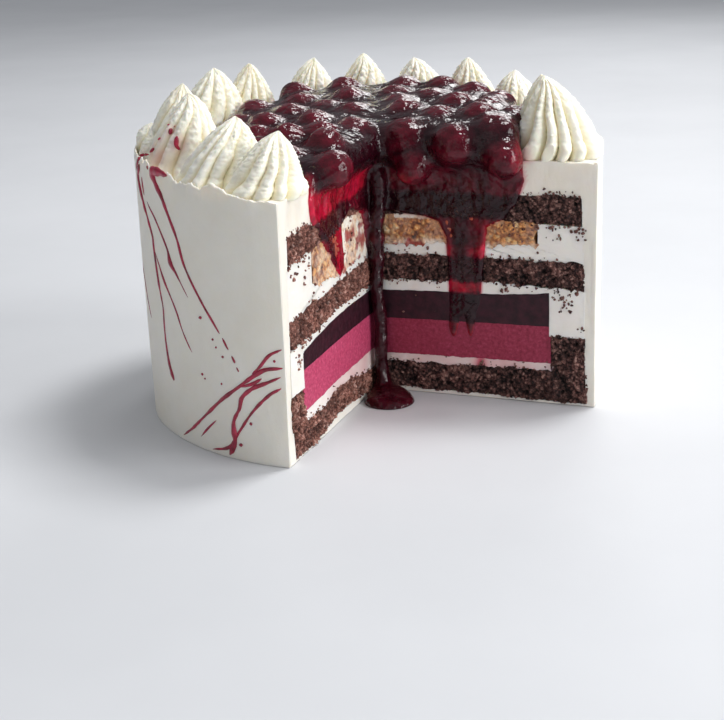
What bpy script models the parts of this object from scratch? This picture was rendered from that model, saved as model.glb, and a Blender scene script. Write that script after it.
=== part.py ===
"""Layered chocolate cake with a quarter cut away, piped swirls and a heap of glazed cherries.

The cake's axis is the Z axis and it stands on z = 0. The missing quarter is x > 0, y < 0, so
the left cut face lies in the plane x = 0 and the right cut face in the plane y = 0.
"""
import math
import random

import bmesh
import bpy
from mathutils import Matrix, Vector

# Driving dimensions of the coated cake, in metres
CAKE_RADIUS = 0.1000
CAKE_HEIGHT = 0.1063
RIM_RADIUS = 0.1007
RIM_INNER = 0.0990
GAP = 0.0003

# How far the torn rim of the coat stands above the top: degrees round, height
RIM_HEIGHTS = (
    (0, 0.0004), (-9, 0.0012), (-17, 0.0045), (-35, 0.0060), (-60, 0.0080), (-80, 0.0070),
    (-100, 0.0030), (-236, 0.0020), (-242, 0.0), (-270, 0.0),
)
RIM_SUNK = 0.0015
RIM_CREST = 0.0009

# Heights where one layer ends and the next begins
SPONGE_1_BOTTOM = 0.0015
SPONGE_1_TOP = 0.0142
MOUSSE_BOTTOM = 0.0178
SPONGE_RING_TOP = 0.0310
JELLY_BOTTOM = 0.0350
JELLY_TOP = 0.0475
SPONGE_2_BOTTOM = 0.0515
SPONGE_2_TOP = 0.0635
CRUNCH_BOTTOM = 0.0680
SPONGE_3_BOTTOM = 0.0810
SPONGE_3_TOP = 0.0920

# Outer radii of the layers
SPONGE_1_RADIUS = 0.0970
SPONGE_2_RADIUS = 0.0950
SPONGE_3_RADIUS = 0.0932
RING_OUTER = 0.0960
RING_INNER = 0.0815
INSERT_RADIUS = 0.0800
CRUNCH_RADIUS = 0.0715
CRUNCH_CENTRE = (0.0035, 0.0035)

# A ring of points on each layer's flat faces, where all of them bend alike
HALFWAY = 0.0400

# The layers lean, and sag and swell a little as they go round
LEAN_X = 0.03
LEAN_Y = 0.05
WAVE_HEIGHT = 0.0007
WAVES_ROUND = 3
TURN_STEPS = 52

# One row for each piped swirl: degrees round from the left cut face, height and width
SWIRLS = (
    (-8.5, 0.0235, 0.0310),
    (-26.0, 0.0280, 0.0330),
    (-45.0, 0.0325, 0.0335),
    (-64.0, 0.0350, 0.0335),
    (-81.0, 0.0250, 0.0340),
    (-99.0, 0.0350, 0.0340),
    (-117.0, 0.0345, 0.0340),
    (-140.0, 0.0340, 0.0350),
    (-158.7, 0.0350, 0.0350),
    (-178.0, 0.0325, 0.0350),
    (-197.0, 0.0330, 0.0350),
    (-217.0, 0.0290, 0.0330),
    (-237.0, 0.0300, 0.0340),
    (-257.0, 0.0330, 0.0400),
)
SWIRL_RING_RADIUS = 0.0825
SWIRL_LEAN_IN = 0.0055
SWIRL_REACH = 0.0985
LAST_SWIRL_REACH = 0.1000
SWIRL_OVERHANG = 0.0022
SWIRL_BLUNTNESS = 1.9
SWIRL_TAPER = 0.90
SWIRL_RIDGES = 9
SWIRL_RIDGE_DEPTH = 0.17
SWIRL_TWIST = math.radians(48)
SWIRL_LEVELS = 8
SWIRL_ROOM = 1.02

# The cherries: centre x, y and z of each, in millimetres
CHERRY_DIAMETER = 0.0158
CHERRIES_MM = (
    (-5, -37, 117), (6, -55, 111), (-16, -54, 113), (-23, -4, 119), (-3, -10, 117),
    (-44, -9, 118), (-59, 13, 120), (-42, 27, 121), (-50, 40, 124), (-31, 53, 125),
    (-22, 36, 123), (-3, 60, 125), (15, 60, 125), (33, 50, 124), (48, 39, 122),
    (11, 18, 121), (46, 13, 121), (60, 20, 118), (40, -5, 113), (18, -3, 115),
    (62, -5, 107), (-25, -29, 117), (-40, 9, 119), (30, 32, 122), (-3, 44, 123),
    (22, -6, 103), (28, 12, 119), (-12, 15, 119), (-38, -31, 116), (-31, -46, 114),
    (-57, -7, 116), (15, 42, 122), (-27, 20, 119), (47, 27, 121), (-13, -22, 117),
    (-50, -23, 115), (56, 4, 117), (4, 30, 121),
)
CHERRY_SPREAD = 0.10

# The sauce that carries the cherries, and how far it hangs over the two cut edges
SAUCE_RADIUS = 0.0670
SAUCE_DEPTH = 0.0125
SAUCE_TILT = 0.55
OVERHANG = 0.0045
TRIM_DEPTH = 0.0010
FILM_THICKNESS = 0.0020

# Outlines of the sauce on the cut faces: distance from the axis and height, in millimetres.
# The first two points and the last are the sharp ends of the straight inner and upper sides.
LEFT_FILM_MM = (
    (8.3, 110), (8.3, 73), (12, 83), (20, 87), (30, 88), (36.5, 84), (36, 75),
    (33.5, 65), (38.5, 62), (43, 65.5), (50, 74), (60, 84), (68, 92), (70, 101), (66, 106),
)
RIGHT_FILM_MM = (
    (8.3, 110), (8.3, 82.5), (14, 81.5), (25, 80.5), (35, 78.5), (35.5, 62), (36.5, 36), (40, 23),
    (45, 25), (50.5, 40), (51, 62), (53, 77), (60, 80.5), (66, 88), (69.5, 98), (66, 110),
)

# The thick thread of sauce that runs down the inner corner into a puddle
THREAD_RADIUS = 0.0030
THREAD_OFFSET = 0.0043
THREAD_SWAY = 0.0005
THREAD_LEVELS = 9
PUDDLES = ((0.0085, -0.0080, 0.0075), (0.0120, -0.0160, 0.0112))
PUDDLE_HEIGHT = 0.0045

COLLECTION_NAME = "chocolate_cake"

# Colour, roughness and metallic value of each material
MATERIALS = {
    "frosting": ((0.86, 0.84, 0.76), 0.55, 0.0),
    "cream": ((0.88, 0.84, 0.78), 0.60, 0.0),
    "sponge": ((0.10, 0.045, 0.025), 0.95, 0.0),
    "mousse": ((0.30, 0.025, 0.08), 0.50, 0.0),
    "jelly": ((0.035, 0.006, 0.015), 0.20, 0.0),
    "crunch": ((0.50, 0.29, 0.11), 0.85, 0.0),
    "cherry_sauce": ((0.09, 0.004, 0.010), 0.10, 0.0),
}


def clear_scene():
    for obj in list(bpy.data.objects):
        bpy.data.objects.remove(obj)


def make_collection(name):
    collection = bpy.data.collections.new(name)
    bpy.context.scene.collection.children.link(collection)
    return collection


def make_material(name):
    colour, roughness, metallic = MATERIALS[name]
    material = bpy.data.materials.new(name)
    material.use_nodes = True
    shader = material.node_tree.nodes["Principled BSDF"]
    shader.inputs["Base Color"].default_value = (*colour, 1.0)
    shader.inputs["Roughness"].default_value = roughness
    shader.inputs["Metallic"].default_value = metallic
    material.diffuse_color = (*colour, 1.0)
    return material


def add_object(name, mesh, collection, material=None):
    obj = bpy.data.objects.new(name, mesh)
    collection.objects.link(obj)
    if material:
        mesh.materials.append(material)
    return obj


def mesh_from_bmesh(name, bm):
    bmesh.ops.recalc_face_normals(bm, faces=bm.faces)
    mesh = bpy.data.meshes.new(name)
    bm.to_mesh(mesh)
    bm.free()
    return mesh


def make_cutter(name, mesh, collection):
    cutter = add_object(name, mesh, collection)
    cutter.hide_render = True
    cutter.display_type = "WIRE"
    return cutter


def quarter_cutter(name, collection, inset=0.0):
    """A block over the missing quarter. The inset moves its two faces away from the cake."""
    side = 2 * CAKE_RADIUS
    bm = bmesh.new()
    bmesh.ops.create_cube(bm, size=side)
    centre = Vector((inset + side / 2, -inset - side / 2, CAKE_HEIGHT / 2))
    bmesh.ops.translate(bm, verts=bm.verts, vec=centre)
    return make_cutter(name, mesh_from_bmesh(name, bm), collection)


def cake_block_cutter(collection):
    """The cake's own space, a gap larger: a thick L-shaped slab under the topping."""
    reach = 2 * CAKE_RADIUS
    outline = (
        (GAP, -GAP), (reach, -GAP), (reach, reach), (-reach, reach), (-reach, -reach),
        (GAP, -reach),
    )
    bm = bmesh.new()
    floor = bm.faces.new([bm.verts.new((x, y, -TRIM_DEPTH)) for x, y in outline])
    raised = bmesh.ops.extrude_face_region(bm, geom=[floor])["geom"]
    top = [vert for vert in raised if isinstance(vert, bmesh.types.BMVert)]
    lift = Vector((0, 0, CAKE_HEIGHT + GAP + TRIM_DEPTH))
    bmesh.ops.translate(bm, verts=top, vec=lift)
    return make_cutter("cake_block", mesh_from_bmesh("cake_block", bm), collection)


def profile_mesh(name, points):
    """An open or closed outline of edges in the XZ plane, from (radius, height) pairs."""
    bm = bmesh.new()
    verts = [bm.verts.new((radius, 0.0, height)) for radius, height in points]
    for first, second in zip(verts, verts[1:]):
        bm.edges.new((first, second))
    if points[0][0] > 0 and points[-1][0] > 0:
        bm.edges.new((verts[-1], verts[0]))
    mesh = bpy.data.meshes.new(name)
    bm.to_mesh(mesh)
    bm.free()
    return mesh


def add_screw(obj, steps=TURN_STEPS):
    screw = obj.modifiers.new("turn", "SCREW")
    screw.axis = "Z"
    screw.steps = steps
    screw.render_steps = steps
    screw.use_merge_vertices = True
    screw.merge_threshold = 0.00001
    screw.use_smooth_shade = True


def apply_modifiers(obj):
    graph = bpy.context.evaluated_depsgraph_get()
    mesh = bpy.data.meshes.new_from_object(obj.evaluated_get(graph))
    obj.modifiers.clear()
    obj.data = mesh


def add_boolean(obj, cutter, operation="DIFFERENCE"):
    boolean = obj.modifiers.new(cutter.name, "BOOLEAN")
    boolean.operation = operation
    boolean.object = cutter
    boolean.solver = "EXACT"


def layer_wave(x, y, z):
    """How far a point of a layer is lifted: nothing at the base and the top, most between."""
    angle = math.atan2(y, x)
    share = math.sin(math.pi * min(max(z / CAKE_HEIGHT, 0.0), 1.0))
    reach = min(math.hypot(x, y) / INSERT_RADIUS, 1.0)
    wave = WAVE_HEIGHT * reach * math.sin(WAVES_ROUND * angle + 1.0)
    return share * (wave + LEAN_X * x + LEAN_Y * y)


def degrees_round(x, y):
    """Where a point lies round the cake, from 0 at the left cut face to -270 at the right one."""
    degrees = math.degrees(math.atan2(x, -y))
    return degrees - 360 if degrees > 45 else degrees


def rim_height(degrees):
    """Height of the torn rim, read between the rows of RIM_HEIGHTS."""
    for (first, low), (second, high) in zip(RIM_HEIGHTS, RIM_HEIGHTS[1:]):
        if degrees >= second:
            share = min(max((degrees - first) / (second - first), 0.0), 1.0)
            return low + (high - low) * share
    return RIM_HEIGHTS[-1][1]


def turned_wavy(name, points, collection, material=None, centre=(0.0, 0.0)):
    """A body turned from its outline about a centre, and waved like its neighbours."""
    obj = add_object(name, profile_mesh(name, points), collection, material)
    add_screw(obj)
    apply_modifiers(obj)
    for vertex in obj.data.vertices:
        vertex.co.x += centre[0]
        vertex.co.y += centre[1]
        vertex.co.z += layer_wave(*vertex.co)
    return obj


def turned_layer(name, points, collection, material, cutters, centre=(0.0, 0.0)):
    """A layer turned from its outline, and cut."""
    obj = turned_wavy(name, points, collection, material, centre)
    obj.data.shade_smooth()
    obj.data.set_sharp_from_angle(angle=math.radians(40))
    for cutter in cutters:
        add_boolean(obj, cutter)
    return obj


def disc_outline(radius, bottom, top):
    """The outline of a disc, from the axis at its top, down its side and back to the axis."""
    low, high = bottom + GAP / 2, top - GAP / 2
    return (
        (0.0, high), (HALFWAY, high), (radius - GAP, high),
        (radius - GAP, low), (HALFWAY, low), (0.0, low),
    )


def ring_outline(inner, outer, bottom, top):
    low, high = bottom + GAP / 2, top - GAP / 2
    return (
        (inner + GAP / 2, high), (outer - GAP, high), (outer - GAP, low), (inner + GAP / 2, low)
    )


def frosting_outline():
    """Coat, top layer and thin base in one: down the outside, then back up the inside."""
    half = GAP / 2
    return (
        (0.0, CAKE_HEIGHT),
        (RIM_INNER, CAKE_HEIGHT),
        (RIM_RADIUS, CAKE_HEIGHT),
        (RIM_RADIUS, CAKE_HEIGHT * 0.95),
        (CAKE_RADIUS, CAKE_HEIGHT * 0.50),
        (CAKE_RADIUS, 0.0),
        (0.0, 0.0),
        (0.0, SPONGE_1_BOTTOM - half),
        (SPONGE_1_RADIUS, SPONGE_1_BOTTOM - half),
        (SPONGE_1_RADIUS, SPONGE_1_TOP),
        (RING_OUTER, SPONGE_RING_TOP),
        (SPONGE_2_RADIUS, SPONGE_2_BOTTOM),
        (SPONGE_2_RADIUS, SPONGE_2_TOP),
        (SPONGE_3_RADIUS, SPONGE_3_BOTTOM),
        (SPONGE_3_RADIUS, SPONGE_3_TOP + half),
        (HALFWAY, SPONGE_3_TOP + half),
        (0.0, SPONGE_3_TOP + half),
    )


def cream_middle_outline():
    """Cream over the jelly, and down the outside of the insert to the sponge ring."""
    low, high = JELLY_TOP + GAP / 2, SPONGE_2_BOTTOM - GAP / 2
    outer = SPONGE_2_RADIUS - GAP
    return (
        (0.0, high),
        (HALFWAY, high),
        (outer, high),
        (outer, SPONGE_RING_TOP + GAP),
        (INSERT_RADIUS + GAP, SPONGE_RING_TOP + GAP),
        (INSERT_RADIUS + GAP, low),
        (HALFWAY, low),
        (0.0, low),
    )


def crunch_cutter(collection):
    """Makes room in the cream for the crunch layer, and is open at the top sponge."""
    outline = disc_outline(
        CRUNCH_RADIUS + 2 * GAP, CRUNCH_BOTTOM - GAP, SPONGE_3_BOTTOM + SPONGE_1_BOTTOM
    )
    cutter = turned_wavy("crunch_cutter", outline, collection, centre=CRUNCH_CENTRE)
    cutter.hide_render = True
    cutter.display_type = "WIRE"
    return cutter


def make_layers(collection, cutters, materials):
    quarter = quarter_cutter("quarter_cutter", cutters)
    crunch_room = crunch_cutter(cutters)
    discs = (
        ("sponge_bottom", "sponge", SPONGE_1_RADIUS, SPONGE_1_BOTTOM, SPONGE_1_TOP),
        ("cream_lower", "cream", RING_INNER - GAP, SPONGE_1_TOP, MOUSSE_BOTTOM),
        ("mousse", "mousse", INSERT_RADIUS, MOUSSE_BOTTOM, JELLY_BOTTOM),
        ("jelly", "jelly", INSERT_RADIUS, JELLY_BOTTOM, JELLY_TOP),
        ("sponge_middle", "sponge", SPONGE_2_RADIUS, SPONGE_2_BOTTOM, SPONGE_2_TOP),
        ("sponge_top", "sponge", SPONGE_3_RADIUS, SPONGE_3_BOTTOM, SPONGE_3_TOP),
    )
    for name, material, radius, bottom, top in discs:
        outline = disc_outline(radius, bottom, top)
        turned_layer(name, outline, collection, materials[material], (quarter,))
    ring = ring_outline(RING_INNER, RING_OUTER, SPONGE_1_TOP, SPONGE_RING_TOP)
    turned_layer("sponge_ring", ring, collection, materials["sponge"], (quarter,))
    outline = cream_middle_outline()
    turned_layer("cream_middle", outline, collection, materials["cream"], (quarter,))
    outline = disc_outline(SPONGE_3_RADIUS, SPONGE_2_TOP, SPONGE_3_BOTTOM)
    both = (crunch_room, quarter)
    turned_layer("cream_upper", outline, collection, materials["cream"], both)
    outline = disc_outline(CRUNCH_RADIUS, CRUNCH_BOTTOM, SPONGE_3_BOTTOM)
    crunch = materials["crunch"]
    turned_layer("crunch", outline, collection, crunch, (quarter,), CRUNCH_CENTRE)
    make_frosting(collection, quarter, materials["frosting"])
    return quarter


def rim_mesh():
    """The torn rim that stands on the coat's edge: a ring as high as rim_height says."""
    bm = bmesh.new()
    rings = []
    for step in range(TURN_STEPS):
        angle = 2 * math.pi * step / TURN_STEPS
        across = (math.cos(angle), math.sin(angle))
        rise = rim_height(degrees_round(*across)) + RIM_SUNK
        low, high = CAKE_HEIGHT - RIM_SUNK, CAKE_HEIGHT - RIM_SUNK + rise
        crest = RIM_RADIUS - RIM_CREST
        corners = ((RIM_INNER, low), (RIM_RADIUS, low), (crest + GAP, high), (crest - GAP, high))
        rings.append([bm.verts.new((r * across[0], r * across[1], z)) for r, z in corners])
    for ring, after in zip(rings, rings[1:] + rings[:1]):
        for corner in range(4):
            follow = (corner + 1) % 4
            bm.faces.new((ring[corner], after[corner], after[follow], ring[follow]))
    return mesh_from_bmesh("rim", bm)


def make_frosting(collection, quarter, material):
    """Coat, top layer and base, with the torn rim joined on."""
    outline = frosting_outline()
    coat = turned_layer("frosting", outline, collection, material, ())
    rim = add_object("rim", rim_mesh(), collection)
    add_boolean(coat, rim, "UNION")
    apply_modifiers(coat)
    bpy.data.objects.remove(rim)
    add_boolean(coat, quarter)


def swirl_fullness(share):
    """Radius of a swirl at a share of its height, as a share of its widest radius."""
    foot = 0.90 + 0.10 * math.sin(math.pi * min(share / 0.30, 1.0))
    return foot * (1.0 - share ** SWIRL_BLUNTNESS) ** SWIRL_TAPER


def held_in(x, y, limits):
    """Moves a point between its swirl's neighbours and inside the rim."""
    first, last, reach = limits
    radius = min(math.hypot(x, y), reach)
    degrees = degrees_round(x, y)
    slack = math.degrees(GAP / 2 / radius)
    degrees = min(max(degrees, last + slack), first - slack)
    angle = math.radians(degrees)
    return radius * math.sin(angle), -radius * math.cos(angle)


def swirl_mesh(name, degrees, height, width, lean, limits, room=1.0):
    """A star-tip swirl: ridged rings that twist and shrink towards a tip leaning inwards."""
    bm = bmesh.new()
    count = 2 * SWIRL_RIDGES
    turn_out = math.radians(degrees - 90)
    outwards = Vector((math.cos(turn_out), math.sin(turn_out)))
    sideways = Vector((-outwards.y, outwards.x))
    rings = []
    for level in range(SWIRL_LEVELS):
        share = level / SWIRL_LEVELS
        depth = SWIRL_RIDGE_DEPTH * (1.0 - 0.5 * share)
        turn = SWIRL_TWIST * share
        centre = outwards * (SWIRL_RING_RADIUS - lean[0] * share) + sideways * lean[1] * share
        ring = []
        for step in range(count):
            angle = 2 * math.pi * step / count + turn
            ridge = 1.0 if step % 2 else 1.0 - depth
            radius = 0.5 * width * room * swirl_fullness(share) * ridge
            point = centre + outwards * radius * math.cos(angle) + sideways * radius * math.sin(angle)
            x, y = held_in(point.x, point.y, limits)
            ring.append(bm.verts.new((x, y, height * share)))
        rings.append(ring)
    for lower, upper in zip(rings, rings[1:]):
        for step in range(count):
            after = (step + 1) % count
            bm.faces.new((lower[step], lower[after], upper[after], upper[step]))
    centre = outwards * (SWIRL_RING_RADIUS - lean[0]) + sideways * lean[1]
    tip = bm.verts.new((centre.x, centre.y, height * room))
    for step in range(count):
        bm.faces.new((rings[-1][step], rings[-1][(step + 1) % count], tip))
    bm.faces.new(rings[0])
    return mesh_from_bmesh(name, bm)


def swirl_limits(index):
    """The bounds of one swirl: halfway to each neighbour, and how far out it may reach."""
    places = [row[0] for row in SWIRLS]
    overhang = math.degrees(SWIRL_OVERHANG / SWIRL_RING_RADIUS)
    before = (places[index - 1] + places[index]) / 2 if index else overhang
    last = index == len(SWIRLS) - 1
    after = -300.0 if last else (places[index] + places[index + 1]) / 2
    return before, after, LAST_SWIRL_REACH if last else SWIRL_REACH


def make_swirls(collection, cutters, material, quarter):
    """The swirls, and for each the room that the cherry heap leaves it."""
    draw = random.Random(5)
    rooms = []
    for index, (degrees, height, width) in enumerate(SWIRLS):
        lean = (SWIRL_LEAN_IN + draw.uniform(-0.001, 0.001), draw.uniform(-0.0015, 0.0015))
        limits = swirl_limits(index)
        name = f"swirl_{index + 1:02d}"
        mesh = swirl_mesh(name, degrees, height, width, lean, limits)
        swirl = add_object(name, mesh, collection, material)
        swirl.location.z = CAKE_HEIGHT + GAP
        swirl.data.shade_smooth()
        swirl.data.set_sharp_from_angle(angle=math.radians(60))
        mesh = swirl_mesh(name, degrees, height, width, lean, limits, SWIRL_ROOM)
        room = make_cutter(f"room_{index + 1:02d}", mesh, cutters)
        room.location.z = CAKE_HEIGHT
        rooms.append(room)
    add_boolean(swirl, quarter)
    return rooms


def sauce_outline():
    """The mound of sauce under the cherries, from its top on the axis to its underside.

    It starts a little inside the cake's top, and is trimmed there with the rest.
    """
    floor = CAKE_HEIGHT - TRIM_DEPTH
    return (
        (0.0, floor + SAUCE_DEPTH),
        (SAUCE_RADIUS * 0.70, floor + SAUCE_DEPTH),
        (SAUCE_RADIUS * 0.90, floor + SAUCE_DEPTH * 0.85),
        (SAUCE_RADIUS * 0.98, floor + SAUCE_DEPTH * 0.45),
        (SAUCE_RADIUS, floor),
        (0.0, floor),
    )


def make_sauce_mound(collection, cutter):
    mound = add_object("cherry_topping", profile_mesh("cherry_topping", sauce_outline()), collection)
    add_screw(mound, steps=32)
    add_boolean(mound, cutter)
    apply_modifiers(mound)
    floor = CAKE_HEIGHT - TRIM_DEPTH
    for vertex in mound.data.vertices:
        lift = 1.0 + SAUCE_TILT * vertex.co.y / SAUCE_RADIUS
        vertex.co.z = floor + (vertex.co.z - floor) * lift
    return mound


def make_cherries(collection):
    draw = random.Random(11)
    for number, centre in enumerate(CHERRIES_MM):
        bm = bmesh.new()
        bmesh.ops.create_icosphere(bm, subdivisions=2, radius=CHERRY_DIAMETER / 2)
        stretch = [1.0 + draw.uniform(-CHERRY_SPREAD, CHERRY_SPREAD) for _ in range(3)]
        bmesh.ops.scale(bm, verts=bm.verts, vec=stretch)
        turn = Matrix.Rotation(draw.uniform(0, math.pi), 3, "Z")
        bmesh.ops.rotate(bm, verts=bm.verts, cent=(0, 0, 0), matrix=turn)
        cherry = add_object(f"cherry_{number}", mesh_from_bmesh("cherry", bm), collection)
        cherry.location = [value / 1000 for value in centre]


def curve_to_mesh(name, curve, matrix, collection):
    """Makes a closed mesh object of a curve, its caps welded to its sides."""
    guide = bpy.data.objects.new(name, curve)
    collection.objects.link(guide)
    guide.matrix_world = matrix
    bpy.context.view_layer.update()
    graph = bpy.context.evaluated_depsgraph_get()
    mesh = bpy.data.meshes.new_from_object(guide.evaluated_get(graph))
    bpy.data.objects.remove(guide)
    bm = bmesh.new()
    bm.from_mesh(mesh)
    bmesh.ops.remove_doubles(bm, verts=bm.verts, dist=0.00001)
    obj = add_object(name, mesh_from_bmesh(name, bm), collection)
    obj.matrix_world = matrix
    return obj


def make_film(name, outline_mm, matrix, collection):
    """A sheet of sauce on a cut face: its outline lies in X and Y, its thickness along Z."""
    curve = bpy.data.curves.new(name, "CURVE")
    curve.dimensions = "2D"
    curve.fill_mode = "BOTH"
    curve.extrude = FILM_THICKNESS / 2
    curve.resolution_u = 2
    spline = curve.splines.new("BEZIER")
    spline.bezier_points.add(len(outline_mm) - 1)
    sharp = (0, 1, len(outline_mm) - 1)
    for index, (across, height) in enumerate(outline_mm):
        point = spline.bezier_points[index]
        point.co = (across / 1000, height / 1000, 0.0)
        point.handle_left_type = "VECTOR" if index in sharp else "AUTO"
        point.handle_right_type = point.handle_left_type
    spline.use_cyclic_u = True
    return curve_to_mesh(name, curve, matrix, collection)


def make_thread(collection):
    """The thread of sauce in the corner: a tube from under the mound down into the puddle."""
    curve = bpy.data.curves.new("sauce_thread", "CURVE")
    curve.dimensions = "3D"
    curve.bevel_depth = THREAD_RADIUS
    curve.bevel_resolution = 2
    curve.use_fill_caps = True
    spline = curve.splines.new("POLY")
    spline.points.add(THREAD_LEVELS)
    top = CAKE_HEIGHT - TRIM_DEPTH - GAP
    for level, point in enumerate(spline.points):
        share = level / THREAD_LEVELS
        out = THREAD_OFFSET + THREAD_SWAY * abs(math.sin(2.5 * math.pi * share))
        point.co = (out, -out, top * (1 - share) + PUDDLE_HEIGHT / 2 * share, 1.0)
        point.radius = 1.0 - 0.25 * math.sin(math.pi * share)
    return curve_to_mesh("sauce_thread", curve, Matrix.Identity(4), collection)


def make_puddles(collection):
    """Two low round pools that run into each other at the foot of the thread."""
    for x, y, radius in PUDDLES:
        outline = (
            (0.0, PUDDLE_HEIGHT),
            (radius * 0.60, PUDDLE_HEIGHT * 0.85),
            (radius * 0.92, PUDDLE_HEIGHT * 0.45),
            (radius, 0.0),
            (0.0, 0.0),
        )
        puddle = add_object("puddle", profile_mesh("puddle", outline), collection)
        add_screw(puddle, steps=20)
        apply_modifiers(puddle)
        puddle.location = (x, y, 0.0)


def join_pieces(obj, pieces):
    """One Boolean union of the object with a collection, whose objects are then removed."""
    union = obj.modifiers.new("join", "BOOLEAN")
    union.operation = "UNION"
    union.operand_type = "COLLECTION"
    union.collection = pieces
    union.solver = "EXACT"
    apply_modifiers(obj)
    for piece in list(pieces.objects):
        bpy.data.objects.remove(piece)
    bpy.data.collections.remove(pieces)


def finish_sauce(obj, material):
    obj.data.materials.clear()
    obj.data.materials.append(material)
    obj.data.shade_smooth()
    obj.data.set_sharp_from_angle(angle=math.radians(50))


def make_topping(collection, cutters, rooms, material):
    """Mound, cherries and the films on the cut faces, joined and trimmed into one body."""
    pieces = make_collection("topping_pieces")
    inset_quarter = quarter_cutter("topping_cutter", cutters, OVERHANG)
    mound = make_sauce_mound(collection, inset_quarter)
    make_cherries(pieces)
    off_face = FILM_THICKNESS / 2
    left_axes = Matrix(((0, 0, 1, off_face), (-1, 0, 0, 0), (0, 1, 0, 0), (0, 0, 0, 1)))
    right_axes = Matrix(((1, 0, 0, 0), (0, 0, -1, -off_face), (0, 1, 0, 0), (0, 0, 0, 1)))
    make_film("left_film", LEFT_FILM_MM, left_axes, pieces)
    make_film("right_film", RIGHT_FILM_MM, right_axes, pieces)
    join_pieces(mound, pieces)
    for cutter in [cake_block_cutter(cutters), *rooms]:
        add_boolean(mound, cutter)
    apply_modifiers(mound)
    finish_sauce(mound, material)


def make_sauce_thread(collection, material):
    """The thread in the corner and the puddle at its foot."""
    thread = make_thread(collection)
    pieces = make_collection("thread_pieces")
    make_puddles(pieces)
    join_pieces(thread, pieces)
    finish_sauce(thread, material)


def main():
    clear_scene()
    collection = make_collection(COLLECTION_NAME)
    cutters = make_collection("cutters")
    materials = {name: make_material(name) for name in MATERIALS}
    quarter = make_layers(collection, cutters, materials)
    rooms = make_swirls(collection, cutters, materials["frosting"], quarter)
    make_topping(collection, cutters, rooms, materials["cherry_sauce"])
    make_sauce_thread(collection, materials["cherry_sauce"])


main()
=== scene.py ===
"""The looks of the cut chocolate cake: every layer, swirl, cherry, film of sauce and crumb."""
import math

import bmesh
import bpy
import numpy as np
from mathutils import Matrix, Vector
from mathutils.bvhtree import BVHTree


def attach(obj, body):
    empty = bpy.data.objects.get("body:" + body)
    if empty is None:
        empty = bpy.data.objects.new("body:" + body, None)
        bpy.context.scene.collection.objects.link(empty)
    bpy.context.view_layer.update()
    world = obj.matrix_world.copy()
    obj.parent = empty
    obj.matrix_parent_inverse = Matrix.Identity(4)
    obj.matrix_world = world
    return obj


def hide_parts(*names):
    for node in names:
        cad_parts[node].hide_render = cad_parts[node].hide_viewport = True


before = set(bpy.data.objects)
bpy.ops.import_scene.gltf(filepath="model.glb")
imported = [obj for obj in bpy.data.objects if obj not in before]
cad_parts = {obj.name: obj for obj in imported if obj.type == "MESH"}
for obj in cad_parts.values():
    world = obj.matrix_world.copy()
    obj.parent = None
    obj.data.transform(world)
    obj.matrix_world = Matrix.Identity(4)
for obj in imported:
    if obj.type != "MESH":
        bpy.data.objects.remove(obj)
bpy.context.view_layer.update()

# The cake in metres, as the frame has it
MM = 0.001
RADIUS = 0.1000
HEIGHT = 0.1063
CORNER = 0.00015
SAUCE_REACH = 0.069
SWEEP = 1.5 * math.pi
SWEEP_STEPS = 19


# Numbers and arrays

def lerp(first, second, share):
    return first + (second - first) * share


def clamp(value, low=0.0, high=1.0):
    return np.clip(value, low, high)


def ease(value):
    """A smooth step from 0 to 1."""
    share = clamp(value)
    return share * share * (3 - 2 * share)


def spread(*coordinates):
    """Points from coordinates, where a single number stands for a whole array of it."""
    return np.stack(np.broadcast_arrays(*coordinates), -1)


def circle_points(turn):
    """Directions at angles round the cake's axis."""
    return spread(np.cos(turn), np.sin(turn), 0.0)


def joined(parts):
    """One set of points and of each kind of face, from parts that each have their own."""
    starts = np.cumsum([0] + [len(part[0]) for part in parts[:-1]])
    verts = np.concatenate([part[0] for part in parts])
    kinds = zip(*(part[1:] for part in parts))
    faces = [
        np.concatenate([shape + start for shape, start in zip(kind, starts)]) for kind in kinds
    ]
    return verts, *faces


def unit_ball(detail):
    """Points and triangles of a ball of radius 1."""
    bm = bmesh.new()
    bmesh.ops.create_icosphere(bm, subdivisions=detail, radius=1.0)
    points = np.array([v.co[:] for v in bm.verts])
    faces = np.array([[v.index for v in f.verts] for f in bm.faces])
    bm.free()
    return points, faces


def tube_faces(levels, around):
    """Quads round a stack of rings, and two fans to the points after them: at the last ring
    and then at the first."""
    index = np.arange(levels * around).reshape(levels, around)
    after = np.roll(index, -1, axis=1)
    quads = np.stack([index[:-1], after[:-1], after[1:], index[1:]], -1).reshape(-1, 4)
    last = spread(index[-1], after[-1], levels * around)
    first = spread(after[0], index[0], levels * around + 1)
    return quads, np.concatenate([last, first])


# Noise

class Lattice:
    """Smooth noise from a seeded lattice of numbers, between -1 and 1."""

    def __init__(self, seed, side=32):
        self.side = side
        self.table = np.random.default_rng(seed).uniform(-1.0, 1.0, (side, side, side))

    def at(self, points, size):
        scaled = np.asarray(points, float) / size
        cell = np.floor(scaled).astype(int)
        part = scaled - cell
        part = part * part * (3.0 - 2.0 * part)
        total = 0.0
        for corner in range(8):
            step = np.array([corner & 1, corner >> 1 & 1, corner >> 2 & 1])
            index = (cell + step) % self.side
            weight = np.prod(np.where(step, part, 1.0 - part), axis=-1)
            total = total + weight * self.table[index[..., 0], index[..., 1], index[..., 2]]
        return total

    def rough(self, points, size, octaves=3, gain=0.5):
        total = 0.0
        share = 1.0
        for octave in range(octaves):
            total = total + share * self.at(np.asarray(points) + 7.7 * octave * size, size)
            size = size / 2.03
            share = share * gain
        return total


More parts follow.
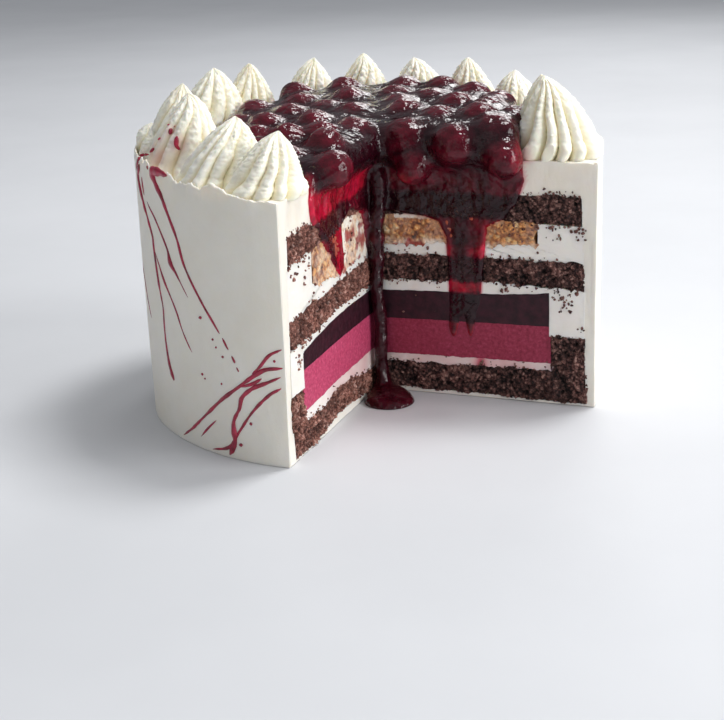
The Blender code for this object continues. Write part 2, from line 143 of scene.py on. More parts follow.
class Cells:
    """Distance to the nearest and second nearest of scattered seeds, and the nearest's number."""

    def __init__(self, seed, side=32):
        self.side = side
        draw = np.random.default_rng(seed)
        self.offset = draw.uniform(0.0, 1.0, (side, side, side, 3))
        self.number = draw.uniform(0.0, 1.0, (side, side, side))

    def at(self, points, size):
        scaled = np.asarray(points, float) / size
        cell = np.floor(scaled).astype(int)
        best = np.full(cell.shape[:-1], 9.0)
        second = best.copy()
        number = np.zeros_like(best)
        for dx in (-1, 0, 1):
            for dy in (-1, 0, 1):
                for dz in (-1, 0, 1):
                    near = cell + (dx, dy, dz)
                    index = near % self.side
                    key = (index[..., 0], index[..., 1], index[..., 2])
                    gap = np.linalg.norm(near + self.offset[key] - scaled, axis=-1)
                    closer = gap < best
                    second = np.where(closer, best, np.minimum(second, gap))
                    number = np.where(closer, self.number[key], number)
                    best = np.where(closer, gap, best)
        return best, second, number


SMOOTH = Lattice(3)
FINE = Lattice(8)
PORES = Cells(5)
LUMPS = Cells(12)


# Materials

def node(tree, kind, **inputs):
    made = tree.nodes.new(kind)
    for name, value in inputs.items():
        made.inputs[name.replace("_", " ")].default_value = value
    return made


def coordinates(tree, scale=(1.0, 1.0, 1.0)):
    place = tree.nodes.new("ShaderNodeTexCoord")
    mapping = tree.nodes.new("ShaderNodeMapping")
    mapping.inputs["Scale"].default_value = scale
    tree.links.new(place.outputs["Object"], mapping.inputs["Vector"])
    return mapping.outputs["Vector"]


def noise_node(tree, per_metre, detail=4.0, rough=0.6, stretch=(1.0, 1.0, 1.0)):
    made = node(tree, "ShaderNodeTexNoise", Scale=per_metre, Detail=detail, Roughness=rough)
    tree.links.new(coordinates(tree, stretch), made.inputs["Vector"])
    return made.outputs["Fac"]


def cell_node(tree, per_metre):
    made = node(tree, "ShaderNodeTexVoronoi", Scale=per_metre)
    tree.links.new(coordinates(tree), made.inputs["Vector"])
    return made.outputs["Distance"]


def ramp(tree, source, *stops):
    """A colour ramp over a value: stops are (place, (red, green, blue))."""
    made = tree.nodes.new("ShaderNodeValToRGB")
    while len(made.color_ramp.elements) < len(stops):
        made.color_ramp.elements.new(0.5)
    for element, (place, colour) in zip(made.color_ramp.elements, stops):
        element.position = place
        element.color = (*colour, 1.0)
    tree.links.new(source, made.inputs["Fac"])
    return made.outputs["Color"]


def grey(value):
    return (value, value, value)


def grey_noise(tree, per_metre, low, high, **shape):
    """Noise as a grey between two stops, each (place, value)."""
    stops = [(place, grey(value)) for place, value in (low, high)]
    return ramp(tree, noise_node(tree, per_metre, **shape), *stops)


def mix(tree, share, first, second, mode="MIX"):
    made = tree.nodes.new("ShaderNodeMix")
    made.data_type = "RGBA"
    made.blend_type = mode
    for socket, value in ((made.inputs[0], share), (made.inputs[6], first), (made.inputs[7], second)):
        if isinstance(value, bpy.types.NodeSocket):
            tree.links.new(value, socket)
        else:
            socket.default_value = value if isinstance(value, float) else (*value, 1.0)
    return made.outputs[2]


def attribute(tree, name):
    made = tree.nodes.new("ShaderNodeAttribute")
    made.attribute_name = name
    return made.outputs["Fac"]


def new_material(name, **values):
    """A material and its tree, with constant values on the shader's own sockets."""
    material = bpy.data.materials.new(name)
    material.use_nodes = True
    shader = material.node_tree.nodes["Principled BSDF"]
    for key, value in values.items():
        shader.inputs[key.replace("_", " ")].default_value = value
    return material, material.node_tree


def finished(material, colour, gloss, *bumps):
    """The material with its colour, its roughness or None, and its bumps linked: each bump is
    (source, distance in metres), one over the other."""
    tree = material.node_tree
    shader = tree.nodes["Principled BSDF"]
    tree.links.new(colour, shader.inputs["Base Color"])
    if gloss:
        tree.links.new(gloss, shader.inputs["Roughness"])
    normal = shader.inputs["Normal"]
    for source, distance in reversed(bumps):
        made = node(tree, "ShaderNodeBump", Strength=1.0, Distance=distance)
        tree.links.new(source, made.inputs["Height"])
        tree.links.new(made.outputs["Normal"], normal)
        normal = made.inputs["Normal"]
    return material


STAIN_COLOUR = (0.62, 0.035, 0.10)
# Painted shade: the yellowish colour laid into the swirls' grooves, where shade falls between the
# ridges
GROOVE_SHADE_COLOUR = (0.88, 0.78, 0.46)


def frosting_material(name, pale, warm, stretch=(1.0, 1.0, 1.0), torn=0.00005):
    material, tree = new_material(
        name, Roughness=0.48, Subsurface_Weight=0.30, Subsurface_Scale=0.0035,
        Subsurface_Radius=(1.0, 0.75, 0.5), Specular_IOR_Level=0.35,
    )
    patches = ramp(tree, noise_node(tree, 45.0), (0.35, warm), (0.65, pale))
    # Painted shade: the grooves take the yellowish shade colour
    groove_shaded = mix(tree, attribute(tree, "groove_shade"), patches, GROOVE_SHADE_COLOUR)
    stained = mix(tree, attribute(tree, "stain"), groove_shaded, STAIN_COLOUR)
    return finished(
        material, stained, grey_noise(tree, 160.0, (0.3, 0.42), (0.7, 0.58)),
        (noise_node(tree, 260.0, stretch=stretch), 0.00022),
        (noise_node(tree, 1300.0, detail=3.0), torn),
    )


def sponge_material():
    material, tree = new_material(
        "sponge_crumb", Roughness=0.85, Specular_IOR_Level=0.35,
    )
    grains = noise_node(tree, 430.0, detail=7.0, rough=0.78)
    # Painted light: a shaded copy of the crumb colours here for the right cut face, and a lit copy
    # below for the left cut face
    dark = ramp(
        tree, grains, (0.41, (0.020, 0.008, 0.008)), (0.49, (0.140, 0.060, 0.052)),
        (0.56, (0.35, 0.170, 0.140)), (0.64, (0.66, 0.42, 0.35)),
    )
    pale = ramp(
        tree, grains, (0.40, (0.075, 0.026, 0.020)), (0.49, (0.33, 0.125, 0.090)),
        (0.56, (0.62, 0.29, 0.22)), (0.64, (0.90, 0.64, 0.56)),
    )
    crumb = mix(tree, attribute(tree, "pale"), dark, pale)
    # Painted shade: pits and creases darkened towards near black, a little less on the lit left face
    pit = mix(tree, attribute(tree, "pale"), (0.010, 0.004, 0.004), (0.060, 0.020, 0.015))
    deep = mix(tree, attribute(tree, "depth"), crumb, pit)
    patches = grey_noise(tree, 90.0, (0.35, 0.65), (0.68, 1.15))
    shaded = mix(tree, 1.0, deep, patches, "MULTIPLY")
    wet = mix(tree, attribute(tree, "stain"), shaded, (0.022, 0.003, 0.005))
    return finished(
        material, wet, grey_noise(tree, 800.0, (0.35, 0.50), (0.65, 0.95)),
        (noise_node(tree, 650.0, detail=7.0, rough=0.75), 0.0015),
        (cell_node(tree, 520.0), 0.0009),
    )


def mousse_material():
    material, tree = new_material(
        "mousse_berry", Roughness=0.55, Subsurface_Weight=0.2, Subsurface_Scale=0.002,
        Subsurface_Radius=(1.0, 0.25, 0.4), Specular_IOR_Level=0.4,
    )
    grains = noise_node(tree, 700.0, detail=5.0)
    # Painted light: a shaded copy of the mousse colours here for the right cut face, and a lit copy
    # below for the left cut face
    dark = ramp(
        tree, grains, (0.30, (0.20, 0.010, 0.034)), (0.55, (0.31, 0.024, 0.064)),
        (0.75, (0.42, 0.050, 0.110)),
    )
    pale = ramp(
        tree, grains, (0.30, (0.36, 0.026, 0.078)), (0.55, (0.51, 0.060, 0.142)),
        (0.75, (0.66, 0.130, 0.235)),
    )
    tone = mix(tree, attribute(tree, "pale"), dark, pale)
    specks = ramp(tree, cell_node(tree, 620.0), (0.05, grey(0.55)), (0.16, grey(1.0)))
    spotted = mix(tree, 1.0, tone, specks, "MULTIPLY")
    wet = mix(tree, attribute(tree, "stain"), spotted, (0.10, 0.004, 0.018))
    return finished(
        material, wet, None,
        (noise_node(tree, 900.0, detail=4.0), 0.00016),
        (noise_node(tree, 120.0, stretch=(1.0, 1.0, 0.25)), 0.0002),
    )


def jelly_material():
    material, tree = new_material(
        "jelly_dark", Roughness=0.30, Subsurface_Weight=0.10, Subsurface_Scale=0.002,
        Subsurface_Radius=(1.0, 0.3, 0.4), Specular_IOR_Level=0.28,
    )
    tone = ramp(
        tree, noise_node(tree, 240.0, detail=5.0),
        (0.35, (0.016, 0.0040, 0.0080)), (0.65, (0.044, 0.008, 0.016)),
    )
    gloss = grey_noise(tree, 420.0, (0.3, 0.38), (0.7, 0.60))
    return finished(material, tone, gloss, (noise_node(tree, 520.0, detail=4.0), 0.00014))


def crunch_material():
    material, tree = new_material("crunch_golden", Roughness=0.75, Specular_IOR_Level=0.35)
    grain = ramp(
        tree, attribute(tree, "grain"),
        (0.0, (0.035, 0.012, 0.008)), (0.20, (0.36, 0.095, 0.030)), (0.50, (0.80, 0.32, 0.075)),
        (0.78, (0.88, 0.50, 0.18)), (1.0, (0.92, 0.72, 0.44)),
    )
    speckle = grey_noise(tree, 1300.0, (0.3, 0.55), (0.7, 1.2), detail=4.0)
    toasted = mix(tree, 1.0, grain, speckle, "MULTIPLY")
    # Painted shade: darker brown in the creases between the grains
    deep = mix(tree, attribute(tree, "depth"), toasted, (0.19, 0.060, 0.022))
    blanched = mix(tree, attribute(tree, "blanch"), deep, (0.86, 0.81, 0.72))
    wet = mix(tree, attribute(tree, "stain"), blanched, (0.30, 0.008, 0.014))
    return finished(material, wet, None, (noise_node(tree, 1400.0, detail=4.0), 0.0003))


# Colours of the sauce from thick and dark to a thin bright film
SAUCE_STOPS = (
    (0.0, (0.0085, 0.0010, 0.0030)), (0.30, (0.034, 0.0020, 0.0060)), (0.55, (0.115, 0.0036, 0.0130)),
    (0.80, (0.300, 0.0042, 0.0170)), (1.0, (0.500, 0.0085, 0.0400)),
)


def glossy_material(name, roughness):
    """A wet skin, coloured by how thin the sauce lies, with a crinkled shine."""
    material, tree = new_material(
        name, Roughness=roughness, IOR=1.38, Subsurface_Weight=0.05, Subsurface_Scale=0.0015,
        Subsurface_Radius=(1.0, 0.1, 0.12),
    )
    tone = ramp(tree, attribute(tree, "tone"), *SAUCE_STOPS)
    blotch = grey_noise(tree, 260.0, (0.32, 0.55), (0.68, 1.3), detail=4.0)
    return finished(
        material, mix(tree, 1.0, tone, blotch, "MULTIPLY"), None,
        (noise_node(tree, 130.0, detail=1.5), 0.0022),
        (noise_node(tree, 420.0, detail=2.0, rough=0.6), 0.00050),
    )


def splash_material():
    material, tree = new_material("splash_sauce", Roughness=0.28, Coat_Weight=0.25)
    tone = ramp(
        tree, noise_node(tree, 220.0),
        (0.35, (0.19, 0.003, 0.018)), (0.65, (0.46, 0.012, 0.055)),
    )
    return finished(material, tone, None, (noise_node(tree, 900.0), 0.0001))


# Meshes

def mark_sharp(mesh, border):
    """Creases the edges whose two ends are both on a border."""
    ends = np.empty(len(mesh.edges) * 2, np.int32)
    mesh.edges.foreach_get("vertices", ends)
    creased = border[ends.reshape(-1, 2)].all(axis=1)
    layer = mesh.attributes.new("sharp_edge", "BOOLEAN", "EDGE")
    layer.data.foreach_set("value", creased)


def inside_volume(verts, quads, tris):
    """Six times the volume inside closed faces, negative where they are turned inwards."""
    faces = np.concatenate([quads[:, :3], quads[:, [0, 2, 3]], tris])
    first, second, third = (verts[faces[:, k]] for k in range(3))
    return np.sum(first * np.cross(second, third))


def mesh_object(name, verts, quads, material, attributes=None, tris=(), border=None):
    """One mesh object from arrays of points and of faces, with its float attributes.

    The faces are turned outwards if they come turned inwards.
    """
    verts = np.asarray(verts, float)
    quads = np.asarray(quads, np.int32).reshape(-1, 4)
    tris = np.asarray(tris, np.int32).reshape(-1, 3)
    if inside_volume(verts, quads, tris) < 0:
        quads, tris = quads[:, [0, 3, 2, 1]], tris[:, [0, 2, 1]]
    mesh = bpy.data.meshes.new(name)
    mesh.vertices.add(len(verts))
    mesh.vertices.foreach_set("co", verts.astype(np.float32).ravel())
    mesh.loops.add(quads.size + tris.size)
    mesh.loops.foreach_set("vertex_index", np.concatenate([quads.ravel(), tris.ravel()]))
    starts = np.concatenate([
        4 * np.arange(len(quads)), quads.size + 3 * np.arange(len(tris))
    ])
    mesh.polygons.add(len(starts))
    mesh.polygons.foreach_set("loop_start", starts.astype(np.int32))
    mesh.update(calc_edges=True)
    for key, values in (attributes or {}).items():
        layer = mesh.attributes.new(key, "FLOAT", "POINT")
        layer.data.foreach_set("value", np.asarray(values, np.float32).ravel())
    mesh.validate()
    mesh.shade_smooth()
    if border is not None:
        mark_sharp(mesh, border)
    mesh.materials.append(material)
    obj = bpy.data.objects.new(name, mesh)
    bpy.context.scene.collection.objects.link(obj)
    return obj


def place(obj, slot, *nodes):
    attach(obj, "root")
    if nodes:
        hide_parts(*nodes)


# Where the layers meet: the noise's number, how ragged it is, and its run on the left and on the
# right cut face as (distance from the axis, height), in millimetres

EDGES = {
    "base_top": (1, 0.7, (
        (0, 1.5), (22, 2.4), (35, 3.6), (50, 4.0), (60, 2.0), (70, 1.0), (97, 1.0),
    ), ((0, 2.0), (50, 1.4), (97, 1.2))),
    "sponge_1_top": (7, 0.8, (
        (0, 11), (12, 11), (30, 14.5), (50, 15), (62, 12.8), (75, 12.6), (97, 13),
    ), ((0, 13.5), (30, 14.0), (60, 15.0), (97, 14.5))),
    "mousse_bottom": (6, 0.25, (
        (0, 19.5), (50, 19.0), (65, 18.0), (82, 17.5),
    ), ((0, 17.0), (30, 17.8), (82, 18.3))),
    "jelly_bottom": (4, 0.10, (
        (0, 36.0), (40, 36.0), (82, 34.8),
    ), ((0, 33.5), (30, 34.2), (82, 34.8))),
    "jelly_top": (5, 0.12, (
        (0, 47.0), (30, 47.0), (50, 46.0), (65, 44.5), (75, 43.0), (82, 42.0),
    ), ((0, 46.3), (30, 47.3), (60, 47.8), (75, 49.0), (80, 50.0))),
    "sponge_2_bottom": (8, 0.9, (
        (0, 49.5), (45, 50.0), (60, 48.0), (75, 46.5), (96, 46.0),
    ), ((0, 51.0), (50, 53.0), (75, 52.2), (96, 51.5))),
    "sponge_2_top": (9, 0.9, (
        (0, 62.0), (40, 60.5), (55, 59.5), (70, 59.0), (85, 58.5), (96, 57.0),
    ), ((0, 63.5), (50, 63.8), (96, 63.5))),
    "crunch_bottom": (2, 1.5, (
        (0, 64.5), (45, 63.5), (70, 66.0),
    ), ((0, 67.0), (40, 68.5), (76, 69.5))),
    "sponge_3_bottom": (10, 0.9, (
        (0, 86.0), (30, 85.0), (45, 82.0), (92, 80.0),
    ), ((0, 80.5), (30, 82.0), (60, 81.0), (75, 80.0), (94, 79.5))),
    "sponge_3_top": (11, 0.8, (
        (0, 95.0), (45, 93.0), (60, 91.3), (92, 91.0),
    ), ((0, 92.0), (60, 91.5), (75, 92.0), (94, 92.0))),
}


def edge_height(name, s, share):
    """Height in metres of a meeting at distances s, at a share of the way round the cake."""
    number, ragged, *runs = EDGES[name]
    left, right = (np.interp(s, *(np.array(run, float) * MM).T) for run in runs)
    where = spread(s, share * 0.4, 0.11 * number)
    rag = 0.6 * SMOOTH.at(where, 0.0060) + 0.75 * FINE.rough(where, 0.0023, 3, 0.7)
    return lerp(left, right, ease(share)) + ragged * MM * rag


def ragged_side(radius_left, radius_right, z, share, rough, seed):
    """Distance in metres of a layer's outer end at heights z."""
    where = spread(z, share * 0.4, seed)
    rag = 0.6 * SMOOTH.at(where, 0.0060) + 0.55 * FINE.rough(where, 0.0021, 3, 0.6)
    return (lerp(radius_left, radius_right, share) + rough * rag) * MM


def along(points, count):
    """Points spread evenly along a polyline, with its corners kept near their share of it."""
    points = np.asarray(points, float)
    steps = np.linalg.norm(np.diff(points, axis=0), axis=1)
    reach = np.concatenate([[0.0], np.cumsum(steps)])
    want = np.linspace(0.0, reach[-1], count)
    return np.stack([np.interp(want, reach, points[:, axis]) for axis in (0, 1)], -1)


def to_world(share, s, z, out=0.0):
    """Points at distance s from the axis and height z, share of the way from the left cut
    face round to the right one, moved out of the cut face by out."""
    turn = -SWEEP * share
    x = s * math.sin(turn)
    y = -s * math.cos(turn)
    side = out if share < 0.5 else -out
    return spread(x + side * math.cos(turn), y + side * math.sin(turn), z)


def sector(name, outline, cells, relief, material, shares=None, extra=None):
    """A closed solid swept three quarters of the way round, with finely worked cut faces.

    outline(share, u, v) gives s and z on a grid, relief(share, points, s, z) how far the cut
    face stands out there, and attributes.
    """
    across, up = cells
    shares = np.linspace(0.0, 1.0, SWEEP_STEPS) if shares is None else shares
    u, v = np.meshgrid(np.linspace(0, 1, across + 1), np.linspace(0, 1, up + 1), indexing="ij")
    index = np.arange(u.size).reshape(u.shape)
    loop = np.concatenate([
        index[:-1, 0], index[-1, :-1], index[:0:-1, -1], index[0, :0:-1]
    ])
    corners = [index[:-1, :-1], index[1:, :-1], index[1:, 1:], index[:-1, 1:]]
    verts, quads, values, rings, start = [], [], [], [], 0
    for number, share in enumerate(shares):
        s, z = outline(share, u, v)
        if number in (0, len(shares) - 1):
            out, marks = relief(share, to_world(share, s, z), s, z)
            points = to_world(share, s, z, out).reshape(-1, 3)
            faces = spread(*(corner.ravel() for corner in corners)) + start
            quads.append(faces[:, ::-1] if number else faces)
            rings.append(loop + start)
        else:
            marks = {}
            points = to_world(share, s, z).reshape(-1, 3)[loop]
            rings.append(np.arange(len(loop)) + start)
        verts.append(points)
        values.append({key: np.ravel(value) for key, value in marks.items()})
        start += len(points)
    for near, far in zip(rings, rings[1:]):
        quads.append(spread(near, far, np.roll(far, -1), np.roll(near, -1)))
    keys = {key for marks in values for key in marks}
    attributes = {
        key: np.concatenate([
            marks.get(key, np.zeros(len(points))) for marks, points in zip(values, verts)
        ]) for key in keys
    }
    verts = np.concatenate(verts)
    border = np.zeros(len(verts), bool)
    border[np.concatenate([rings[0], rings[-1]])] = True
    if extra:
        verts, attributes = extra(verts, attributes)
    return mesh_object(name, verts, np.concatenate(quads), material, attributes, border=border)


# Sauce on the cut faces: the outlines of its films, as (distance from the axis, height)

LEFT_FILM_MM = (
    (3, 110), (3, 60), (8, 70), (12, 83), (20, 87), (30, 88), (36.5, 84), (36, 75),
    (33.5, 65), (38.5, 62), (43, 65.5), (50, 74), (60, 84), (68, 92), (70, 101), (66, 110),
)
RIGHT_FILM_MM = (
    (3, 110), (3, 83), (14, 81.5), (25, 80.5), (31, 78.5), (34, 72), (34.8, 62), (35.2, 50),
    (35.2, 38), (34.9, 32), (35.6, 28.5), (37.0, 26.5), (38.6, 28), (39.6, 32), (40.4, 36),
    (42.2, 37.5), (43.0, 32), (43.8, 28.5), (45.2, 27.0), (46.4, 29), (47.2, 34), (48.0, 39),
    (49.6, 43), (50.4, 49), (50.6, 55), (51.6, 63), (53, 77), (60, 80.5), (66, 88), (69.5, 98),
    (66, 110),
)


def outline_distance(s, z, outline_mm):
    """Signed distance in metres to an outline: positive inside it."""
    points = np.array(outline_mm, float) * MM
    best = np.full(np.shape(s), 9.0)
    inside = np.zeros(np.shape(s), bool)
    for first, second in zip(points, np.roll(points, -1, axis=0)):
        edge = second - first
        t = clamp(((s - first[0]) * edge[0] + (z - first[1]) * edge[1]) / (edge @ edge))
        gap = np.hypot(s - first[0] - t * edge[0], z - first[1] - t * edge[1])
        best = np.minimum(best, gap)
        crosses = (first[1] > z) != (second[1] > z)
        with np.errstate(divide="ignore", invalid="ignore"):
            at = first[0] + (z - first[1]) * edge[0] / edge[1]
        inside ^= crosses & (s < at)
    return np.where(inside, best, -best)


def film_depth(share, s, z):
    """How far inside the film of sauce on a cut face each point lies, in metres."""
    return outline_distance(s, z, LEFT_FILM_MM if share < 0.5 else RIGHT_FILM_MM)


def stain_at(share, s, z):
    """How much sauce has soaked in at a cut face, from 0 to 1."""
    return clamp(0.5 + film_depth(share, s, z) / 0.0012)


# Relief of each food's cut face

def sponge_relief(share, points, s, z):
    """Torn crumb: rounded granules of two sizes with creases and open pores, both darkened with
    painted shade.
    """
    near, _, _ = PORES.at(points, 0.0036)
    grain, other, _ = LUMPS.at(points + 0.31, 0.0017)
    body = SMOOTH.rough(points, 0.0046, 3, 0.6)
    pit = clamp(1.0 - near / 0.36) ** 1.1
    crease = clamp(1.0 - (other - grain) / 0.30)
    out = 0.00030 + 0.00075 * body + 0.00060 * (1.0 - grain) - 0.0018 * pit - 0.0007 * crease
    # Painted shade: how far pits and creases are darkened, less on raised crumb
    depth = clamp(1.1 * pit + 0.75 * crease - 0.5 * body - 0.05)
    # Painted light: the left cut face is marked to take the lit copy of the crumb colours
    pale = np.full_like(s, 1.0 - share)
    return out, {"depth": depth, "stain": 0.85 * stain_at(share, s, z), "pale": pale}


def cream_relief(share, points, s, z):
    drag = points * (1.0, 1.0, 0.35)
    out = 0.00016 * SMOOTH.rough(drag, 0.0060, 3) + 0.00008 * FINE.rough(points, 0.0020, 2)
    return out, {"stain": stain_at(share, s, z)}


def side_cream_relief(share, points, s, z):
    """Cream that stands a little proud where it meets the ends of the mousse and the jelly."""
    out, marks = cream_relief(share, points, s, z)
    return out + 0.00032 * clamp((s - lerp(0.0805, 0.0785, share)) / 0.0008), marks


def pink_cream_relief(share, points, s, z):
    """Cream that the mousse above it has tinted."""
    out, marks = cream_relief(share, points, s, z)
    tint = 0.30 + 0.14 * SMOOTH.rough(points, 0.007, 2)
    fade = np.clip((0.066 - s) / 0.02, 0.25, 1.0) if share < 0.5 else 1.0
    spot = 0.5 * np.exp(-((s - 0.0495) / 0.0025) ** 2) if share > 0.5 else 0.0
    marks["stain"] = clamp(np.maximum(marks["stain"], tint * fade + spot))
    return out, marks


def mousse_relief(share, points, s, z):
    out = 0.00012 * SMOOTH.rough(points, 0.0080, 2) + 0.00005 * FINE.rough(points, 0.0018, 2)
    # Painted light: the left cut face is marked to take the lit copy of the mousse colours
    marks = {"stain": 0.55 * stain_at(share, s, z), "pale": np.full_like(s, 1.0 - share)}
    return out + 0.0001, marks


def jelly_relief(share, points, s, z):
    out = 0.00008 * SMOOTH.rough(points, 0.0100, 2) + 0.00004 * FINE.rough(points, 0.0022, 2)
    return out + 0.0001, {}


def crunch_relief(share, points, s, z):
    """Crumbled biscuit in grains of two sizes, with cream between them in places."""
    near, second, number = LUMPS.at(points, 0.0025)
    small, _, speck = PORES.at(points + 0.17, 0.0011)
    edge = clamp((second - near) / 0.30)
    body = SMOOTH.rough(points, 0.0050, 3, 0.6)
    out = 0.0001 + 0.0007 * edge * (1.0 - 0.8 * near) + 0.0004 * body - 0.00025 * small
    if share < 0.5:
        creamy = clamp((0.042 - s) / 0.004) * 0.85 + 0.30
    else:
        creamy = 0.95 * ((z > 0.0795) & (s > 0.011) & (s < 0.031)) + 0.13
        creamy = creamy + 0.55 * clamp((0.0715 - z) / 0.0020)
    patch = clamp(0.35 + 4.5 * SMOOTH.rough(points + 0.4, 0.0062, 3))
    blanch = clamp(creamy * (0.45 + 0.75 * patch) * (0.6 + 0.4 * (speck > 0.3)))
    juice = np.clip(3.0 * SMOOTH.rough(points + 0.9, 0.0060, 2) - 0.9, 0.0, 0.8)
    window = clamp((0.040 - s) / 0.006)
    marks = {
        "grain": clamp(0.55 * number + 0.45 * speck + 0.15 * body),
        # Painted shade: the creases between the grains, where no cream lies, are marked darker
        "depth": 0.8 * (1.0 - edge) * (1.0 - blanch), "blanch": blanch,
        "stain": np.maximum(0.8 * stain_at(share, s, z), juice * window),
    }
    return out * (1.0 - 0.6 * blanch), marks


def disc_outline(low, high, radii, rough, seed):
    """The grid of a disc layer between two meetings."""
    def outline(share, u, v):
        reach = ragged_side(*radii, v * 0.015 + seed, share, rough, seed)
        s = lerp(CORNER, reach, u)
        return s, lerp(edge_height(low, s, share), edge_height(high, s, share), v)
    return outline


def ring_outline(share, u, v):
    inner = ragged_side(82.6, 81.2, v * 0.015, share, 0.5, 0.71)
    outer = ragged_side(95.6, 96.0, v * 0.015, share, 0.7, 0.83)
    s = lerp(inner, outer, u)
    bottom = edge_height("sponge_1_top", s, share)
    top = 0.0280 + 0.0030 * share + 0.0008 * FINE.rough(spread(s, share, 0.5), 0.0040, 3, 0.6)
    return s, lerp(bottom, top, v)


def band_outline(inner_path, outer_path):
    """The grid of a bent band between an inner and an outer path, each a function of share."""
    def outline(share, u, v):
        inner = along(inner_path(share), u.shape[0])
        outer = along(outer_path(share), u.shape[0])
        s = inner[:, None, 0] * (1 - v) + outer[:, None, 0] * v
        z = inner[:, None, 1] * (1 - v) + outer[:, None, 1] * v
        return s, z
    return outline


def sampled_edge(name, share, reach, count=60):
    s = np.linspace(CORNER, reach, count)
    return spread(s, edge_height(name, s, share))


def ring_sponge_top(share, reach):
    return lerp(0.0275, 0.0305, share)


def under_top_sponge(share, reach):
    return edge_height("sponge_3_bottom", np.array([min(reach, 0.093)]), share)[0]


def bent_path(name, left, right, end):
    """Along a meeting out to a distance that differs by cut face, then to the height of end."""
    def path(share):
        reach = lerp(left, right, share)
        edge = sampled_edge(name, share, reach)
        return np.concatenate([edge, [(reach, end(share, reach))]])
    return path


def make_layers(materials):
    middle_band = band_outline(bent_path("jelly_top", 0.0822, 0.0802, ring_sponge_top),
                               bent_path("sponge_2_bottom", 0.0950, 0.0955, ring_sponge_top))
    upper_band = band_outline(bent_path("crunch_bottom", 0.0690, 0.0750, under_top_sponge),
                              bent_path("sponge_2_top", 0.0940, 0.0950, under_top_sponge))
    # Piece, slot, CAD node, outline, cells across and up, relief
    layers = (
        ("bottom_sponge", "sponge", "sponge_bottom",
         disc_outline("base_top", "sponge_1_top", (93.6, 97.0), 0.8, 0.2), (240, 32),
         sponge_relief),
        ("ring_sponge", "sponge", "sponge_ring", ring_outline, (35, 40), sponge_relief),
        ("middle_sponge", "sponge", "sponge_middle",
         disc_outline("sponge_2_bottom", "sponge_2_top", (94.0, 95.2), 0.8, 0.4), (237, 30),
         sponge_relief),
        ("top_sponge", "sponge", "sponge_top",
         disc_outline("sponge_3_bottom", "sponge_3_top", (92.0, 93.6), 0.8, 0.6), (232, 27),
         sponge_relief),
        ("crunch_layer", "crunch", "crunch",
         disc_outline("crunch_bottom", "sponge_3_bottom", (68.5, 74.5), 2.0, 0.9), (185, 32),
         crunch_relief),
        ("mousse_layer", "mousse", "mousse",
         disc_outline("mousse_bottom", "jelly_bottom", (83.0, 81.0), 0.12, 0.15), (133, 28),
         mousse_relief),
        ("jelly_layer", "jelly", "jelly",
         disc_outline("jelly_bottom", "jelly_top", (83.0, 81.0), 0.12, 0.35), (133, 20),
         jelly_relief),
        ("lower_cream", "cream", "cream_lower",
         disc_outline("sponge_1_top", "mousse_bottom", (83.4, 82.0), 0.2, 0.55), (133, 6),
         pink_cream_relief),
        ("middle_cream", "cream", "cream_middle", middle_band, (170, 12), side_cream_relief),
        ("upper_cream", "cream", "cream_upper", upper_band, (160, 14), cream_relief),
    )
    for name, slot, cad_node, outline, cells, relief in layers:
        place(sector(name, outline, cells, relief, materials[slot]), slot, cad_node)


# Frosting: how far the coat's solid body stays inside its outer skin
SKIN_GAP = 0.0006


def coat_inner(share):
    under = sampled_edge("base_top", share, lerp(0.0938, 0.0968, share), 20)
    over = sampled_edge("sponge_3_top", share, lerp(0.0922, 0.0936, share))[::-1]
    side = [(lerp(0.0948, 0.0952, share), 0.028), (lerp(0.0938, 0.0947, share), 0.055)]
    return np.concatenate([under, side, over])


def coat_outer(share):
    side = RADIUS - SKIN_GAP
    under = spread(np.linspace(CORNER, side, 20), 0.0001)
    over = spread(np.linspace(0.0970, CORNER, 60), HEIGHT)
    return np.concatenate([under, [(side, HEIGHT - 0.0008)], over])


def wall_push(points):
    """How far the spatula left the coat's side proud or hollow, in metres."""
    stretched = np.asarray(points) * (1.0, 1.0, 0.55)
    return 0.00032 * SMOOTH.rough(stretched, 0.022, 2) + 0.00010 * FINE.rough(stretched, 0.006, 2)


def uneven_wall(verts, attributes):
    """Spatula marks on the coat and soft hollows on the top."""
    reach = np.hypot(verts[:, 0], verts[:, 1])
    outside = clamp((reach - 0.0975) / 0.0015)
    factor = 1.0 + outside * wall_push(verts) / np.maximum(reach, 0.01)
    verts[:, :2] *= factor[:, None]
    upper = clamp((verts[:, 2] - HEIGHT + 0.002) / 0.002)
    verts[:, 2] += upper * 0.0003 * SMOOTH.rough(verts, 0.009, 3)
    near = clamp(1.0 - (reach - SAUCE_REACH) / 0.006) * upper
    attributes["stain"] = np.maximum(attributes["stain"], 0.55 * near)
    return verts, attributes


def make_frosting(material):
    shares = np.linspace(0.0, 1.0, 151)
    obj = sector("frosting_coat", band_outline(coat_inner, coat_outer), (230, 8), cream_relief,
                 material, shares, uneven_wall)
    place(obj, "frosting", "frosting")


# How far the torn rim stands above the top, in millimetres, by degrees round
RIM_MM = (
    (0, 0.2), (9, 1.2), (15, 4.6), (20, 4.0), (32, 6.0), (45, 7.0), (60, 8.6), (80, 7.0),
    (100, 3.0), (236, 2.0), (243, 0.3), (270, 0.2),
)
SKIN_STEPS = 700
SKIN_LEVELS = 52
SKIN_DEPTH = 1.5
SKIN_STOP = 0.0030

# The rim's section: (lower end, height as a share, outer side, inner side), sides in millimetres
RIM_SECTION = (
    (-1.5, 0.0, 0.10, -1.9), (0.0, 0.20, 0.14, -1.5), (0.0, 0.45, 0.14, -1.25),
    (0.0, 0.70, 0.12, -1.1), (0.0, 0.88, 0.04, -0.95), (0.0, 1.0, -0.25, -0.7),
)


